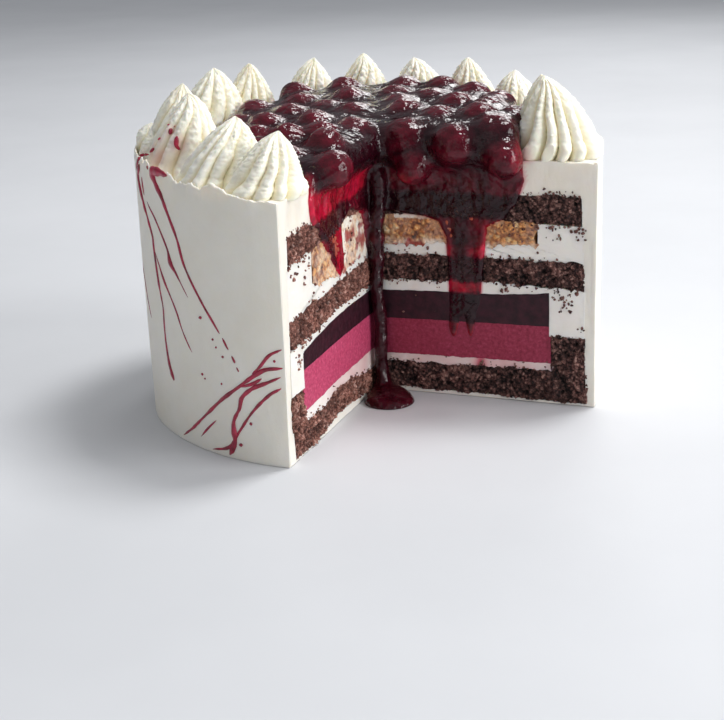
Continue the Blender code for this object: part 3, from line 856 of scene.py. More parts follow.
def make_skin(material):
    """The coat's outer skin in fine steps, which runs up into a thin jagged rim."""
    degrees = np.linspace(0, 270, SKIN_STEPS)
    table = np.array(RIM_MM, float)
    turn = np.radians(-90 - degrees)
    ring = circle_points(turn) * RADIUS
    tall = np.interp(degrees, table[:, 0], table[:, 1]) * MM
    jag = 1.1 * SMOOTH.at(ring, 0.0060) + 0.9 * FINE.rough(ring, 0.0040, 4, 0.75)
    tall = np.clip(tall * (1 + 0.15 * jag) + 0.0004 * jag, 0.0001, 0.0100)
    wall = [(level, 0.0, 0.10 * level, -SKIN_DEPTH) for level in np.linspace(0, 1, SKIN_LEVELS)]
    rise = np.array(wall + list(RIM_SECTION))
    low = HEIGHT - SKIN_STOP
    base = np.concatenate([rise[:SKIN_LEVELS, 0] * low, HEIGHT + rise[SKIN_LEVELS:, 0] * MM])
    share = rise[:, 1]
    height = base[None] + tall[:, None] * share[None]
    place_at = np.concatenate([
        ring[:, None, :2].repeat(len(rise), 1), height[..., None]
    ], -1)
    sway = 0.4 * FINE.rough(ring + 0.3, 0.007, 2)
    torn = 0.30 * FINE.rough(place_at * (1, 1, 0.7), 0.0024, 3, 0.6) * (share > 0)
    outer = RADIUS + wall_push(place_at) + (rise[:, 2] + sway[:, None] * share + torn) * MM
    inner = RADIUS + (rise[:, 3] + sway[:, None] * share - torn) * MM
    inner[:, :SKIN_LEVELS] += wall_push(place_at[:, :SKIN_LEVELS])
    reach = np.concatenate([outer, inner[:, ::-1]], 1)
    height = np.concatenate([height, height[:, ::-1]], 1)
    turn = turn[:, None]
    verts = spread(reach * np.cos(turn), reach * np.sin(turn), height).reshape(-1, 3)
    index = np.arange(len(verts)).reshape(height.shape)
    after = np.roll(index, -1, axis=1)
    quads = [np.stack([index[:-1], index[1:], after[1:], after[:-1]], -1).reshape(-1, 4)]
    count = len(rise)
    for row, turned in ((index[0], 1), (index[-1], -1)):
        out, back = row[:count], row[:count - 1:-1]
        quads.append(spread(out[:-1], out[1:], back[1:], back[:-1])[:, ::turned])
    obj = mesh_object("frosting_skin", verts, np.concatenate(quads), material)
    obj.data.set_sharp_from_angle(angle=math.radians(75))
    place(obj, "frosting")


# Piped swirls: degrees round, height, width, lean inwards and along the ring in millimetres,
# how blunt the tip is, ridges
SWIRLS = (
    (-8.5, 24.0, 34.0, 5.0, 2.4, 1.95, 11), (-26.0, 28.0, 38.0, 6.8, 5.0, 2.10, 12),
    (-45.0, 34.5, 37.0, 4.5, -1.5, 1.90, 11), (-64.0, 35.3, 35.0, 4.5, 0.5, 1.75, 11),
    (-81.0, 24.0, 34.0, 4.0, 0.0, 1.90, 11), (-99.0, 35.5, 34.0, 4.0, -0.8, 2.70, 12),
    (-117.0, 35.0, 34.0, 4.0, 0.6, 1.70, 12), (-140.0, 34.3, 36.0, 3.5, -1.0, 1.90, 13),
    (-158.7, 35.2, 36.0, 3.0, 0.0, 1.80, 12), (-178.0, 33.0, 35.0, 3.5, 1.2, 2.20, 12),
    (-197.0, 33.5, 35.0, 3.5, 1.0, 1.80, 11), (-217.0, 29.5, 33.0, 3.0, 0.5, 2.00, 12),
    (-237.0, 30.5, 34.0, 4.0, -0.5, 1.80, 12), (-257.0, 33.8, 41.0, 7.0, 0.0, 1.90, 14),
)
# A smaller lobe that the nozzle left beside the fourth swirl, against the coat
LOBED = 4
LOBE = (-65.0, 19.2, 23.0, -1.5, 0.0, 3.6, 8)
LOBE_RING = 0.0905
SWIRL_RING = 0.0825
SWIRL_SUNK = 0.0006
# Where sauce splashed the third swirl and tints it pink: pixels of the photograph, width in mm
SPLASHED = 3
BLOOMS_PX = (
    (170.4, 131.5, 2.6), (177, 144, 4.0), (152, 150.5, 3.6), (159.4, 139, 2.4), (160, 158, 5.0),
)
SWIRL_REACH = 0.0988
LAST_REACH = 0.1002
TIP_SHARE = 0.94


def swirl_fullness(share, blunt):
    """Radius by height as shares: a tent with a bulging foot and a small round tip."""
    foot = 0.92 + 0.08 * np.sin(np.pi * np.minimum(share / 0.24, 1.0))
    flank = (1.0 - share ** blunt) ** 0.82
    tip = np.sqrt(1.0 - clamp((share - TIP_SHARE) / (1.0 - TIP_SHARE)) ** 2)
    return foot * flank * tip


def swirl_rings(number, row):
    """Ridged rings from foot to tip, x outwards and y along the ring, and how deep in a groove each
    point lies, which sets its painted shade.
    """
    _, height, width, lean_in, lean_along, blunt, ridges = row
    around, levels = ridges * 15, 66
    share = np.linspace(0.0, 1.0, levels + 1)[:-1] ** 0.92
    angle = np.linspace(0, 2 * math.pi, around, endpoint=False)
    turn, up = np.meshgrid(angle, share)
    bend = 0.12 * np.sin(up * 4 + number) + 0.10 * np.sin(3 * turn + number)
    phase = ridges * (turn - math.radians(40 + 5 * (number % 3)) * up - bend) + number
    own = spread(np.cos(turn), np.sin(turn), up * 1.5 + number)
    wander = 0.9 * SMOOTH.at(own * (1, 1, 1.6) + 2.2, 0.5)
    lobe = np.abs(np.sin((phase + wander) / 2)) ** 0.55
    uneven = 0.85 + 0.45 * SMOOTH.at(own + 0.4, 0.55)
    depth = np.clip(0.34 * (1.0 - 0.25 * up) * uneven, 0.06, 0.55)
    torn = FINE.rough(own * (1, 1, 3.0), 0.11, 2, 0.6) * (0.25 + 0.75 * lobe)
    soft = 0.075 * SMOOTH.at(own, 0.75) + 0.020 * FINE.at(own * (1, 1, 0.6), 0.30)
    soft = soft + (0.020 + 0.075 * up ** 3) * torn
    full = swirl_fullness(up, blunt)
    radius = 0.5 * width * full * (1.0 - depth * (1.0 - lobe) + soft)
    settle = up ** 1.2
    x = radius * np.cos(turn) - lean_in * settle
    y = radius * np.sin(turn) + lean_along * settle
    z = height * (up + 0.020 * SMOOTH.at(own + 5.0, 0.6) + 0.008 * torn * up)
    curl = clamp((up - 0.84) / 0.16) ** 2
    hook = (1.1 * math.cos(number * 2.1), 1.1 * math.sin(number * 2.1))
    rings = spread(x + hook[0] * curl, y + hook[1] * curl, z) * MM
    tip = np.array([hook[0] - lean_in, hook[1] + lean_along, height]) * MM
    # Painted shade in the grooves, strongest towards the swirl's foot
    groove_shade = clamp((1.0 - lobe) * 1.5 - 0.15) * (1.0 - 0.55 * up)
    return rings, tip, groove_shade


def swirl_parts(number, row, ring):
    """World points, faces and groove of one swirl standing at a distance from the axis."""
    rings, tip, groove_shade = swirl_rings(number, row)
    verts = np.concatenate([rings.reshape(-1, 3), [tip], [(0, 0, 0)]])
    angle = math.radians(row[0] - 90)
    cosine, sine = math.cos(angle), math.sin(angle)
    out = verts[:, 0] + ring
    x = out * cosine - verts[:, 1] * sine
    y = out * sine + verts[:, 1] * cosine
    z = verts[:, 2] + HEIGHT - SWIRL_SUNK
    limit = LAST_REACH if number == len(SWIRLS) else SWIRL_REACH
    reach = np.hypot(x, y)
    held = np.where(reach > limit, limit + 0.0004 * np.tanh((reach - limit) / 0.002), reach)
    world = spread(x * held / reach, y * held / reach, z)
    return world, *tube_faces(*rings.shape[:2]), np.concatenate([groove_shade.ravel(), [0.0, 0.0]])


def make_swirl(number, row, material):
    pieces = [swirl_parts(number, row, SWIRL_RING)]
    if number == LOBED:
        pieces.append(swirl_parts(number, LOBE, LOBE_RING))
    verts, quads, tris = joined([piece[:3] for piece in pieces])
    groove_shade = np.concatenate([piece[3] for piece in pieces])
    reach = np.hypot(verts[:, 0], verts[:, 1])
    low = clamp(1.0 - (verts[:, 2] - HEIGHT) / 0.010)
    stain = 0.35 * low * clamp(1.0 - (reach - SAUCE_REACH) / 0.005)
    marks = {"stain": stain, "groove_shade": 0.75 * groove_shade}
    obj = mesh_object(f"piped_swirl_{number:02d}", verts, quads, material, marks, tris)
    if number == SPLASHED:
        add_blooms(obj, verts, stain)
    if number == len(SWIRLS):
        slice_swirl(obj)
    place(obj, "frosting", f"swirl_{number:02d}")


def add_blooms(obj, verts, stain):
    """Tints a swirl pink round the places where sauce splashed it."""
    for x, y, width in BLOOMS_PX:
        for centre in on_pieces([(x, y)], [obj.name])[0]:
            gap = np.linalg.norm(verts - centre, axis=1) / (width * MM)
            stain = np.maximum(stain, 0.30 * np.exp(-gap ** 2))
    obj.data.attributes["stain"].data.foreach_set("value", stain.astype(np.float32))


def slice_swirl(obj):
    """Cuts the last swirl off flat where the knife went through it."""
    bm = bmesh.new()
    bm.from_mesh(obj.data)
    geometry = bm.verts[:] + bm.edges[:] + bm.faces[:]
    cut = bmesh.ops.bisect_plane(
        bm, geom=geometry, plane_co=(0, 0.00005, 0), plane_no=(0, -1, 0), clear_outer=True
    )
    rim = [item for item in cut["geom_cut"] if isinstance(item, bmesh.types.BMEdge)]
    bmesh.ops.holes_fill(bm, edges=rim)
    bm.to_mesh(obj.data)
    bm.free()
    obj.data.set_sharp_from_angle(angle=math.radians(60))


# Cherries and sauce

CHERRIES_MM = (
    (-5, -37, 117), (6, -55, 111), (-16, -54, 113), (-23, -4, 119), (-3, -10, 117),
    (-44, -9, 118), (-59, 13, 120), (-42, 27, 121), (-50, 40, 124), (-31, 53, 125),
    (-22, 36, 123), (-3, 60, 125), (15, 60, 125), (33, 50, 124), (48, 39, 122),
    (11, 18, 121), (46, 13, 121), (60, 20, 118), (40, -5, 113), (18, -3, 115),
    (62, -5, 107), (-25, -29, 117), (-40, 9, 119), (30, 32, 122), (-3, 44, 123),
    (22, -6, 103), (28, 12, 119), (-12, 15, 119), (-38, -31, 116), (-31, -46, 114),
    (-57, -7, 116), (15, 42, 122), (-27, 20, 119), (47, 27, 121), (-13, -22, 117),
    (-50, -23, 115), (56, 4, 117), (4, 30, 121),
)
CHERRY_RADIUS = 0.0077


def cherry_shape(number, directions):
    """One cherry of radius 1: round, with a dent where its stone was."""
    draw = np.random.default_rng(100 + number)
    pole = draw.normal(size=3) + (0, 0, 0.8)
    pole /= np.linalg.norm(pole)
    toward = directions @ pole
    dent = -0.28 * np.exp(-((1 - toward) / 0.06))
    lumps = 0.05 * SMOOTH.at(directions + number * 3.1, 0.9)
    squash = 1.0 - 0.06 * toward ** 2
    return directions * ((1.0 + dent + lumps) * squash)[:, None]


def make_cherries(material):
    ball, faces = unit_ball(4)
    verts, tris = joined([
        (cherry_shape(number, ball) * CHERRY_RADIUS + centre, faces)
        for number, centre in enumerate(np.array(CHERRIES_MM) * MM)
    ])
    tone = 0.46 + 0.10 * SMOOTH.rough(verts, 0.009, 2)
    obj = mesh_object("cherries", verts, [], material, {"tone": tone}, tris)
    place(obj, "cherry_sauce", "cherry_topping")


def smooth_min(first, second, reach):
    """The nearer of two distances, blended over reach where they are alike."""
    alike = np.maximum(reach - np.abs(first - second), 0.0) / reach
    return np.minimum(first, second) - alike * alike * reach / 4


def smooth_max(first, second, reach):
    return -smooth_min(-first, -second, reach)


# The sauce is one field of distances on a grid, negative inside, in metres
GRID = 0.0006
SAUCE_BOX = ((-0.0750, -0.0750, -0.0012), (0.0750, 0.0750, 0.1352))
FAR = 0.0040
POOL_RADIUS = 0.0668
POOL_DEPTH = 0.0158
POOL_FOOT = 0.0985
OVERHANG_LOW = 0.0010
OVERHANG_HIGH = 0.0072
CHERRY_SKIN = -0.00025
CELL_CORNERS = [(a, b, c) for a in (0, 1) for b in (0, 1) for c in (0, 1)]
CHERRY_FILLET = 0.0052
FILM_FILLET = 0.0030


class Field:
    """Distances to the sauce's surface over a box, made up shape by shape."""

    def __init__(self):
        self.axes = [np.arange(a, b, GRID) for a, b in zip(*SAUCE_BOX)]
        self.values = np.full([len(axis) for axis in self.axes], FAR, np.float32)

    def part(self, low, high):
        rows = [np.searchsorted(axis, (a, b)) for axis, a, b in zip(self.axes, low, high)]
        x, y, z = (axis[a:b] for axis, (a, b) in zip(self.axes, rows))
        where = tuple(slice(a, b) for a, b in rows)
        return where, x[:, None, None], y[None, :, None], z[None, None, :]

    def add(self, where, distance, fillet):
        self.values[where] = smooth_min(self.values[where], distance.astype(np.float32), fillet)

    def surface(self):
        """One point in each cell that the surface crosses, and the quads between them."""
        inside = self.values < 0
        size = [n - 1 for n in self.values.shape]
        count = np.zeros(size, np.int8)
        for a, b, c in CELL_CORNERS:
            count += inside[a:a + size[0], b:b + size[1], c:c + size[2]]
        cells = np.argwhere((count > 0) & (count < 8))
        number = np.full(size, -1, np.int64)
        number[tuple(cells.T)] = np.arange(len(cells))
        quads = [self.quads_across(axis, inside, number) for axis in range(3)]
        return self.cell_points(cells), np.concatenate(quads)

    def cell_points(self, cells):
        """The middle of where the surface meets each cell's edges."""
        at = {corner: self.values[tuple((cells + corner).T)] for corner in CELL_CORNERS}
        total, met = np.zeros((len(cells), 3)), np.zeros(len(cells))
        for start in CELL_CORNERS:
            for axis in range(3):
                if start[axis]:
                    continue
                stop = tuple(value + (k == axis) for k, value in enumerate(start))
                first, last = at[start], at[stop]
                crossed = (first < 0) != (last < 0)
                share = np.where(crossed, first / np.where(crossed, first - last, 1.0), 0.0)
                point = np.array(start, float) + share[:, None] * np.eye(3)[axis]
                total += point * crossed[:, None]
                met += crossed
        low = np.array([axis[0] for axis in self.axes])
        return (cells + total / met[:, None]) * GRID + low

    @staticmethod
    def quads_across(axis, inside, number):
        """A quad round each grid edge along an axis that the surface crosses."""
        one, two = [k for k in range(3) if k != axis]
        first = [slice(1, -1)] * 3
        first[axis] = slice(0, -1)
        last = list(first)
        last[axis] = slice(1, None)
        here, there = inside[tuple(first)], inside[tuple(last)]
        edges = np.argwhere(here != there)
        leaves = here[tuple(edges.T)]
        edges[:, [one, two]] += 1
        ring = []
        for step_one, step_two in ((0, 0), (1, 0), (1, 1), (0, 1)):
            cell = edges.copy()
            cell[:, one] -= step_one
            cell[:, two] -= step_two
            ring.append(number[tuple(cell.T)])
        ring = spread(*ring)
        turned = leaves if axis != 1 else ~leaves
        return np.where(turned[:, None], ring, ring[:, ::-1])


def film_thickness(share, s, z):
    """How thick a film of sauce lies on a cut face, and how far inside its outline."""
    inside = film_depth(share, s, z)
    flow = SMOOTH.rough(spread(s * 2.2, z * 0.5, share), 0.010, 3)
    rise = clamp((z - 0.045) / 0.060)
    thick = 0.0004 + 0.0012 * rise + (0.0002 + 0.0006 * rise) * flow
    edge = clamp(inside / 0.0022)
    runs = FINE.rough(spread(s, 0.10 * z, 0.7 + share), 0.0042, 3, 0.6)
    grainy = ease((0.099 - z) / 0.004) * ease((z - 0.078) / 0.004) * share
    grains = FINE.rough(spread(s, z, 4.2), 0.0024, 2, 0.6)
    out = thick * np.sqrt(edge) * (1 + 0.5 * np.exp(-((inside - 0.0018) / 0.001) ** 2))
    return out + (0.00032 * runs * rise + 0.00040 * grains * grainy) * edge, inside


def add_pool(field):
    """The deep sauce between the cherries, rounded over its rim and over the cut."""
    where, x, y, z = field.part((-0.075, -0.075, 0.0960), (0.075, 0.075, 0.1352))
    flat = spread(x, y, 0.0)
    turn = flat / np.maximum(np.hypot(x, y), 1e-5)[..., None]
    edge = POOL_RADIUS + 0.0016 * SMOOTH.at(turn, 0.35) + 0.0008 * FINE.at(turn, 0.12)
    swell = 0.0008 * SMOOTH.at(flat, 0.012)
    top = z - HEIGHT - POOL_DEPTH * (1 + 0.50 * y / 0.067) - swell
    rim = np.hypot(x, y) - edge
    cut = smooth_min(x, -y, 0.006) + 0.0012 * SMOOTH.at(flat, 0.013)
    cut = cut - OVERHANG_LOW - OVERHANG_HIGH * ease((z - 0.0980) / 0.0120)
    shape = smooth_max(top, rim, 0.010)
    shape = smooth_max(shape, cut, 0.011)
    field.add(where, smooth_max(shape, POOL_FOOT - z, 0.002), 0.001)


def add_cherries(field):
    reach = CHERRY_RADIUS + 0.006
    for centre in np.array(CHERRIES_MM) * MM:
        where, x, y, z = field.part(centre - reach, centre + reach)
        gap = np.sqrt((x - centre[0]) ** 2 + (y - centre[1]) ** 2 + (z - centre[2]) ** 2)
        field.add(where, gap - CHERRY_RADIUS - CHERRY_SKIN, CHERRY_FILLET)


def add_film(field, share):
    if share < 0.5:
        where, x, y, z = field.part((-0.0020, -0.0745, 0.018), (0.0055, 0.0, 0.1125))
        s, out = -y, x
    else:
        where, x, y, z = field.part((0.0, -0.0055, 0.018), (0.0745, 0.0020, 0.1125))
        s, out = x, -y
    thick, inside = film_thickness(share, s + 0 * z, 0 * s + z)
    slab = smooth_max(out - thick, -0.0012 - out, 0.0004)
    field.add(where, smooth_max(slab, -inside, 0.0006), FILM_FILLET)


# The thread of sauce in the corner: (height, radius, distance out from the corner) in mm
THREAD_MM = (
    (0, 4.8, 4.6), (3, 3.9, 4.4), (8, 3.2, 4.3), (15, 2.7, 4.2), (22, 3.1, 4.2), (30, 2.7, 4.2),
    (39, 3.2, 4.1), (46, 2.7, 4.2), (53, 3.3, 4.2), (57, 2.8, 4.2), (62, 3.6, 4.3), (66, 2.9, 4.3),
    (71, 3.8, 4.4), (76, 3.1, 4.4), (81, 3.7, 4.6), (87, 3.2, 4.6), (95, 3.7, 4.6),
    (104, 3.9, 4.2), (116, 4.0, 3.0),
)
# Its puddle: (x, y, radius, height) in mm
PUDDLE_MM = ((8.5, -8.0, 8.0, 4.0), (12.0, -16.0, 11.2, 4.4))


def add_thread(field):
    where, x, y, z = field.part((-0.004, -0.016, -0.002), (0.016, 0.004, 0.1160))
    table = np.array(THREAD_MM) * MM
    radius = np.interp(z, table[:, 0], table[:, 1])
    out = np.interp(z, table[:, 0], table[:, 2])
    sway = 0.0005 * np.sin(z * 85) + 0.0003 * np.sin(z * 210 + 1)
    field.add(where, np.hypot(x - out - sway, y + out - sway) - radius, 0.0020)
    for x0, y0, wide, tall in np.array(PUDDLE_MM) * MM:
        reach = wide + 0.003
        where, x, y, z = field.part((x0 - reach, y0 - reach, -0.002), (x0 + reach, y0 + reach, 0.009))
        ball = np.sqrt(((x - x0) / wide) ** 2 + ((y - y0) / wide) ** 2 + (z / tall) ** 2)
        field.add(where, (ball - 1) * tall, 0.0030)


def under_tone(share, s, z):
    """How bright a film looks over what it lies on at a cut face, from 0 to 1."""
    left = share < 0.5
    # Painted shade: sponge and crunch under the film count darker on the right cut face than on the
    # left
    cream, sponge = 0.90, 0.42 if left else 0.20
    crunch = 0.80 if left else 0.55
    bands = (
        ("sponge_3_top", cream), ("sponge_3_bottom", sponge),
        ("crunch_bottom", crunch), ("sponge_2_top", cream), ("sponge_2_bottom", sponge),
        ("jelly_top", cream), ("jelly_bottom", 0.10), ("mousse_bottom", 0.66),
    )
    heights = [(edge_height(name, s, share), value) for name, value in reversed(bands)]
    total = 0.0
    shifts = (-0.0007, 0.0, 0.0007)
    for shift in shifts:
        tone = np.full(np.shape(s), 0.30)
        for height, value in heights:
            tone = np.where(z + shift > height, value, tone)
        total = total + tone / len(shifts)
    return total


def film_tone(share, s, z):
    """Tone of the film over a cut face: what lies under it, its thickness, and streaks."""
    streak = FINE.rough(spread(s, 0.12 * z, 0.3 + share), 0.0028, 3, 0.6)
    cloud = SMOOTH.rough(spread(s, 0.5 * z, share), 0.011, 2)
    under = under_tone(share, s, z)
    tone = under * (0.86 + 0.22 * streak + 0.25 * cloud)
    if share < 0.5:
        corner = np.clip((s - 0.004) / 0.010, 0.15, 1.0)
        foot = 1.0 - 0.35 * clamp((0.092 - z) / 0.008) * (s > 0.044)
        tone = tone * corner * foot
    else:
        shade = 0.45 + 0.50 * np.exp(-(((s - 0.018) / 0.011) ** 2 + ((z - 0.0985) / 0.0045) ** 2))
        drip = clamp((0.083 - z) / 0.003)
        core = 1.0 - 0.62 * np.exp(-((s - 0.0415) / 0.0042) ** 2) * (z > 0.063)
        tone = tone * (shade * (1 - drip) + core * drip)
    edge = clamp(1.0 - film_depth(share, s, z) / 0.0016)
    return clamp(tone + 0.30 * edge * (under > 0.5))


def sauce_tone(points):
    """Tone of the skin of sauce at each point: wine over a cherry, black where it lies deep."""
    gap = np.full(len(points), 9.0)
    for centre in np.array(CHERRIES_MM) * MM:
        gap = np.minimum(gap, np.linalg.norm(points - centre, axis=1) - CHERRY_RADIUS)
    top = 0.46 - 0.36 * ease((gap + 0.0004) / 0.0042)
    rim = clamp((np.hypot(points[:, 0], points[:, 1]) - 0.0645) / 0.003)
    top = np.maximum(top, 0.62 * rim)
    x, y, z = points.T
    low = ease((0.1070 - z) / 0.0060)
    thread = clamp(1.0 - (np.hypot(x - 0.004, y + 0.004) - 0.0036) / 0.0015)
    puddle = clamp((0.006 - z) / 0.001)
    left = x < -y
    s = np.where(left, -y, x)
    film = np.where(left, film_tone(0.0, s, z), film_tone(1.0, s, z))
    deep = np.maximum(thread, puddle)
    film = film * (1.0 - deep) + (0.24 + 0.10 * puddle) * deep
    return top * (1.0 - low) + film * low


def make_sauce(material):
    """One skin of sauce over the pool, the cherries, the films, the thread and the puddle."""
    field = Field()
    add_pool(field)
    add_cherries(field)
    add_film(field, 0.0)
    add_film(field, 1.0)
    add_thread(field)
    points, quads = field.surface()
    points[:, 2] = np.maximum(points[:, 2], 0.0)
    obj = mesh_object("sauce", points, quads, material, {"tone": sauce_tone(points)})
    place(obj, "cherry_sauce", "sauce_thread")


# Splashes of sauce on the coat: (degrees from the left cut, height, width), in millimetres

STROKES = (
    ((-32, 112.2, 1.6), (-36, 112.8, 2.6), (-39, 111.5, 2.6), (-37, 106, 2.0), (-35, 102, 1.5),
     (-30, 88, 1.2), (-27.5, 77, 1.1), (-22.5, 64.5, 1.0), (-18.5, 55.5, 0.8), (-17, 52, 0.5)),
    ((-16.3, 50.5, 0.6), (-15.2, 47.5, 0.8), (-14.6, 46, 0.5)),
    ((-13.8, 43.8, 0.6), (-13.2, 42, 0.9), (-12.9, 41, 0.6)),
    ((-45, 98, 0.6), (-40, 92, 0.8), (-35, 82, 0.9), (-33.5, 76, 1.9), (-31, 72, 0.8), (-27, 64, 0.5)),
    ((-50, 112, 1.4), (-52.5, 106, 2.2), (-50.6, 101, 1.7), (-46, 92, 1.2), (-43, 84.5, 1.1),
     (-42.5, 79.5, 1.3), (-41, 64.5, 1.1), (-39.4, 54.5, 0.8), (-39.6, 44.5, 0.9),
     (-38.5, 33, 1.3), (-36.3, 25, 1.9)),
    ((-42, 78, 0.5), (-37.5, 67, 0.9), (-33, 58, 0.7), (-30, 48, 0.6), (-27, 41, 0.4)),
    ((-0.6, 41.4, 0.9), (-5, 40, 1.2), (-8.7, 36, 1.3), (-12.5, 31, 1.0), (-17.5, 24.5, 1.1),
     (-22.5, 17, 0.9), (-28.7, 8, 1.0), (-33.7, 2, 0.7)),
    ((-1.2, 37.6, 0.8), (-5, 34.5, 1.0), (-8.7, 31.4, 1.2), (-11.5, 27, 1.2), (-12.5, 22, 1.3),
     (-14.4, 15.7, 1.2), (-14.4, 7, 2.0), (-16.2, 1.2, 1.2)),
    ((-1.2, 33, 0.7), (-4.4, 29.5, 0.9), (-8.7, 22, 0.9), (-13, 12, 0.8), (-16.2, 4.5, 0.9),
     (-22, 1.2, 0.7)),
    ((-0.6, 49, 0.7), (-3.7, 46.2, 0.9), (-6.2, 41.2, 0.8), (-8.4, 37.6, 0.6)),
    ((-6.0, 36.2, 0.7), (-8.4, 33.6, 1.1), (-11.8, 31.4, 0.9)),
    ((-20, 14.5, 0.5), (-23, 10, 0.7), (-26, 5, 0.4)),
    ((-12.6, 39.4, 0.5), (-12.2, 38.2, 0.6), (-12.0, 37.6, 0.4)),
    ((-58, 67, 0.5), (-56, 59, 0.7), (-52.5, 51, 0.6), (-50, 46, 0.4)),
    ((-47.8, 108, 0.5), (-47.6, 104, 0.7), (-47.0, 100, 0.5)),
)
DROPS = (
    (-23, 57, 1.2), (-19.4, 49, 1.0), (-18.5, 46, 0.8), (-16.6, 42.6, 1.0), (-23.7, 33, 1.1),
    (-22.9, 31.4, 0.7), (-17.5, 31, 0.9), (-2.6, 44.0, 1.1), (-9.6, 16.5, 1.3), (-12.8, 6.5, 1.4),
)
# Splashes on the third swirl and over the rim, in pixels of the photograph, with widths in mm
SWIRL_STROKES_PX = (
    ((171.3, 128.3, 0.9), (170.4, 131.5, 1.1), (169.9, 134.6, 0.7)),
    ((176.9, 136, 0.8), (176.2, 142.4, 1.2), (176.9, 146.6, 1.2), (180.4, 150, 0.7)),
    ((138.3, 173, 1.2), (137.2, 167, 1.2), (138, 161.3, 1.2), (141.8, 155.7, 1.0),
     (148.9, 154.3, 0.8)),
    ((151.6, 149.3, 1.8), (152.8, 151.6, 1.8)),
    ((147.2, 165.5, 0.7), (147.4, 167.5, 0.9), (147.8, 169.5, 0.6)),
    ((168.2, 124.4, 0.8), (168.8, 125.2, 0.8)), ((174.3, 125.9, 0.8), (174.8, 126.6, 0.8)),
    ((159.1, 138.6, 1.1), (159.8, 139.3, 1.1)),
)
SPLASH_CARRIERS = ("frosting_skin", "piped_swirl_03", "piped_swirl_04", "piped_swirl_05")
STROKE_SPREAD = 1.4


def smooth_path(rows, steps=9):
    """Points and widths on a smooth curve through rows."""
    rows = np.array(rows, float)
    ends = np.concatenate([[2 * rows[0] - rows[1]], rows, [2 * rows[-1] - rows[-2]]])
    t = np.linspace(0, 1, steps, endpoint=False)[:, None]
    path = []
    for a, b, c, d in zip(ends, ends[1:], ends[2:], ends[3:]):
        path.append(0.5 * (2 * b + (c - a) * t + (2 * a - 5 * b + 4 * c - d) * t ** 2
                           + (3 * b - a - 3 * c + d) * t ** 3))
    return np.concatenate(path + [rows[-1:]])


def ribbon(points, normals, widths, seed, sides=9):
    """A raised stroke of sauce along points of a surface, rounded over, with tapered ends."""
    along_path = np.gradient(points, axis=0)
    across = np.cross(normals, along_path)
    across /= np.linalg.norm(across, axis=1)[:, None]
    count = len(points)
    taper = np.clip(np.minimum(np.arange(count), np.arange(count)[::-1]) / 3.0, 0.12, 1.0) ** 0.5
    uneven = 1.0 + 0.35 * FINE.at(points + seed, 0.003)
    half = 0.5 * STROKE_SPREAD * widths * taper * uneven
    angle = np.linspace(2 * math.pi, 0, sides, endpoint=False)
    rise = 0.45 * half
    verts = (
        points[:, None] + across[:, None] * (half[:, None] * np.cos(angle))[..., None]
        + normals[:, None] * (rise[:, None] * np.sin(angle) + 0.25 * rise[:, None])[..., None]
    )
    verts = np.concatenate([verts.reshape(-1, 3), points[-1:], points[:1]])
    return verts, *tube_faces(count, sides)


def on_coat(degrees, z):
    """Points and outward normals on the coat's skin."""
    normals = circle_points(np.radians(degrees - 90))
    up = spread(0.0, 0.0, z)
    reach = RADIUS + wall_push(normals * RADIUS + up) + 0.0001 * z / HEIGHT
    return normals * reach[:, None] + up, normals


def on_pieces(pixels, names):
    """Points and normals where the camera's rays through pixels meet the named pieces."""
    camera = bpy.context.scene.camera.matrix_world
    origin = camera.translation
    graph = bpy.context.evaluated_depsgraph_get()
    trees = [BVHTree.FromObject(bpy.data.objects[name], graph) for name in names]
    points, normals = [], []
    for x, y in pixels:
        ray = Vector((x - PHOTO_WIDTH / 2, PHOTO_HEIGHT / 2 - y, -LENS_PX))
        ray = (camera.to_3x3() @ ray).normalized()
        hits = [tree.ray_cast(origin, ray) for tree in trees]
        hits = [hit for hit in hits if hit[0]]
        if hits:
            place_at, normal = min(hits, key=lambda hit: hit[3])[:2]
            points.append(place_at)
            normals.append(normal)
    return np.array(points), np.array(normals)


def make_splashes(material):
    drops = [
        ((degrees, z + 0.5 * width, width), (degrees + 0.2, z - 0.5 * width, 0.8 * width))
        for degrees, z, width in DROPS
    ]
    parts = []
    for step, strokes in ((0.1, STROKES), (0.2, drops), (0.3, SWIRL_STROKES_PX)):
        for number, rows in enumerate(strokes):
            path = smooth_path(rows)
            if strokes is SWIRL_STROKES_PX:
                points, normals = on_pieces(path[:, :2], SPLASH_CARRIERS)
            else:
                points, normals = on_coat(path[:, 0], path[:, 1] * MM)
            if len(points) == len(path):
                parts.append(ribbon(points, normals, path[:, 2] * MM, step * number))
    verts, quads, tris = joined(parts)
    obj = mesh_object("sauce_splashes", verts, quads, material, None, tris)
    place(obj, "cherry_sauce")


# Crumbs dragged over the cut faces by the knife: (meeting, drift, from, to) in millimetres

EDGE_CRUMBS = 46
CRUMB_START = 0.003
CRUMB_END = 0.0960
CRUMB_EDGES = (
    ("sponge_1_top", 0.8, 5, 80), ("sponge_2_bottom", -1.0, 5, 94), ("sponge_2_top", 0.8, 5, 94),
    ("sponge_3_bottom", -1.1, 60, 93), ("sponge_3_top", 0.7, 68, 93),
)
# Places with more crumbs: (cut face, distance from the axis, height, spread, count)
CRUMB_SPOTS = (
    (1, 81, 77, 1.6, 6), (1, 84, 77, 1.6, 6), (1, 93, 76, 1.6, 12), (1, 83, 50, 1.4, 9),
    (1, 86, 46, 1.6, 12), (1, 87, 43, 1.4, 9), (1, 90, 50, 2.0, 10), (1, 60, 50, 1.4, 6),
    (1, 92, 34, 2.0, 8), (1, 64, 78, 4.0, 34), (1, 20, 50, 6.0, 14), (1, 26, 66, 3.0, 5),
    (0, 72, 75, 1.2, 4), (0, 78, 71, 1.2, 4), (0, 89, 76, 1.6, 7), (0, 87, 40, 2.0, 14),
    (0, 88, 44, 2.5, 10), (0, 25, 80, 5.0, 14), (0, 28, 70, 5.0, 8), (0, 70, 62, 3.0, 6),
)


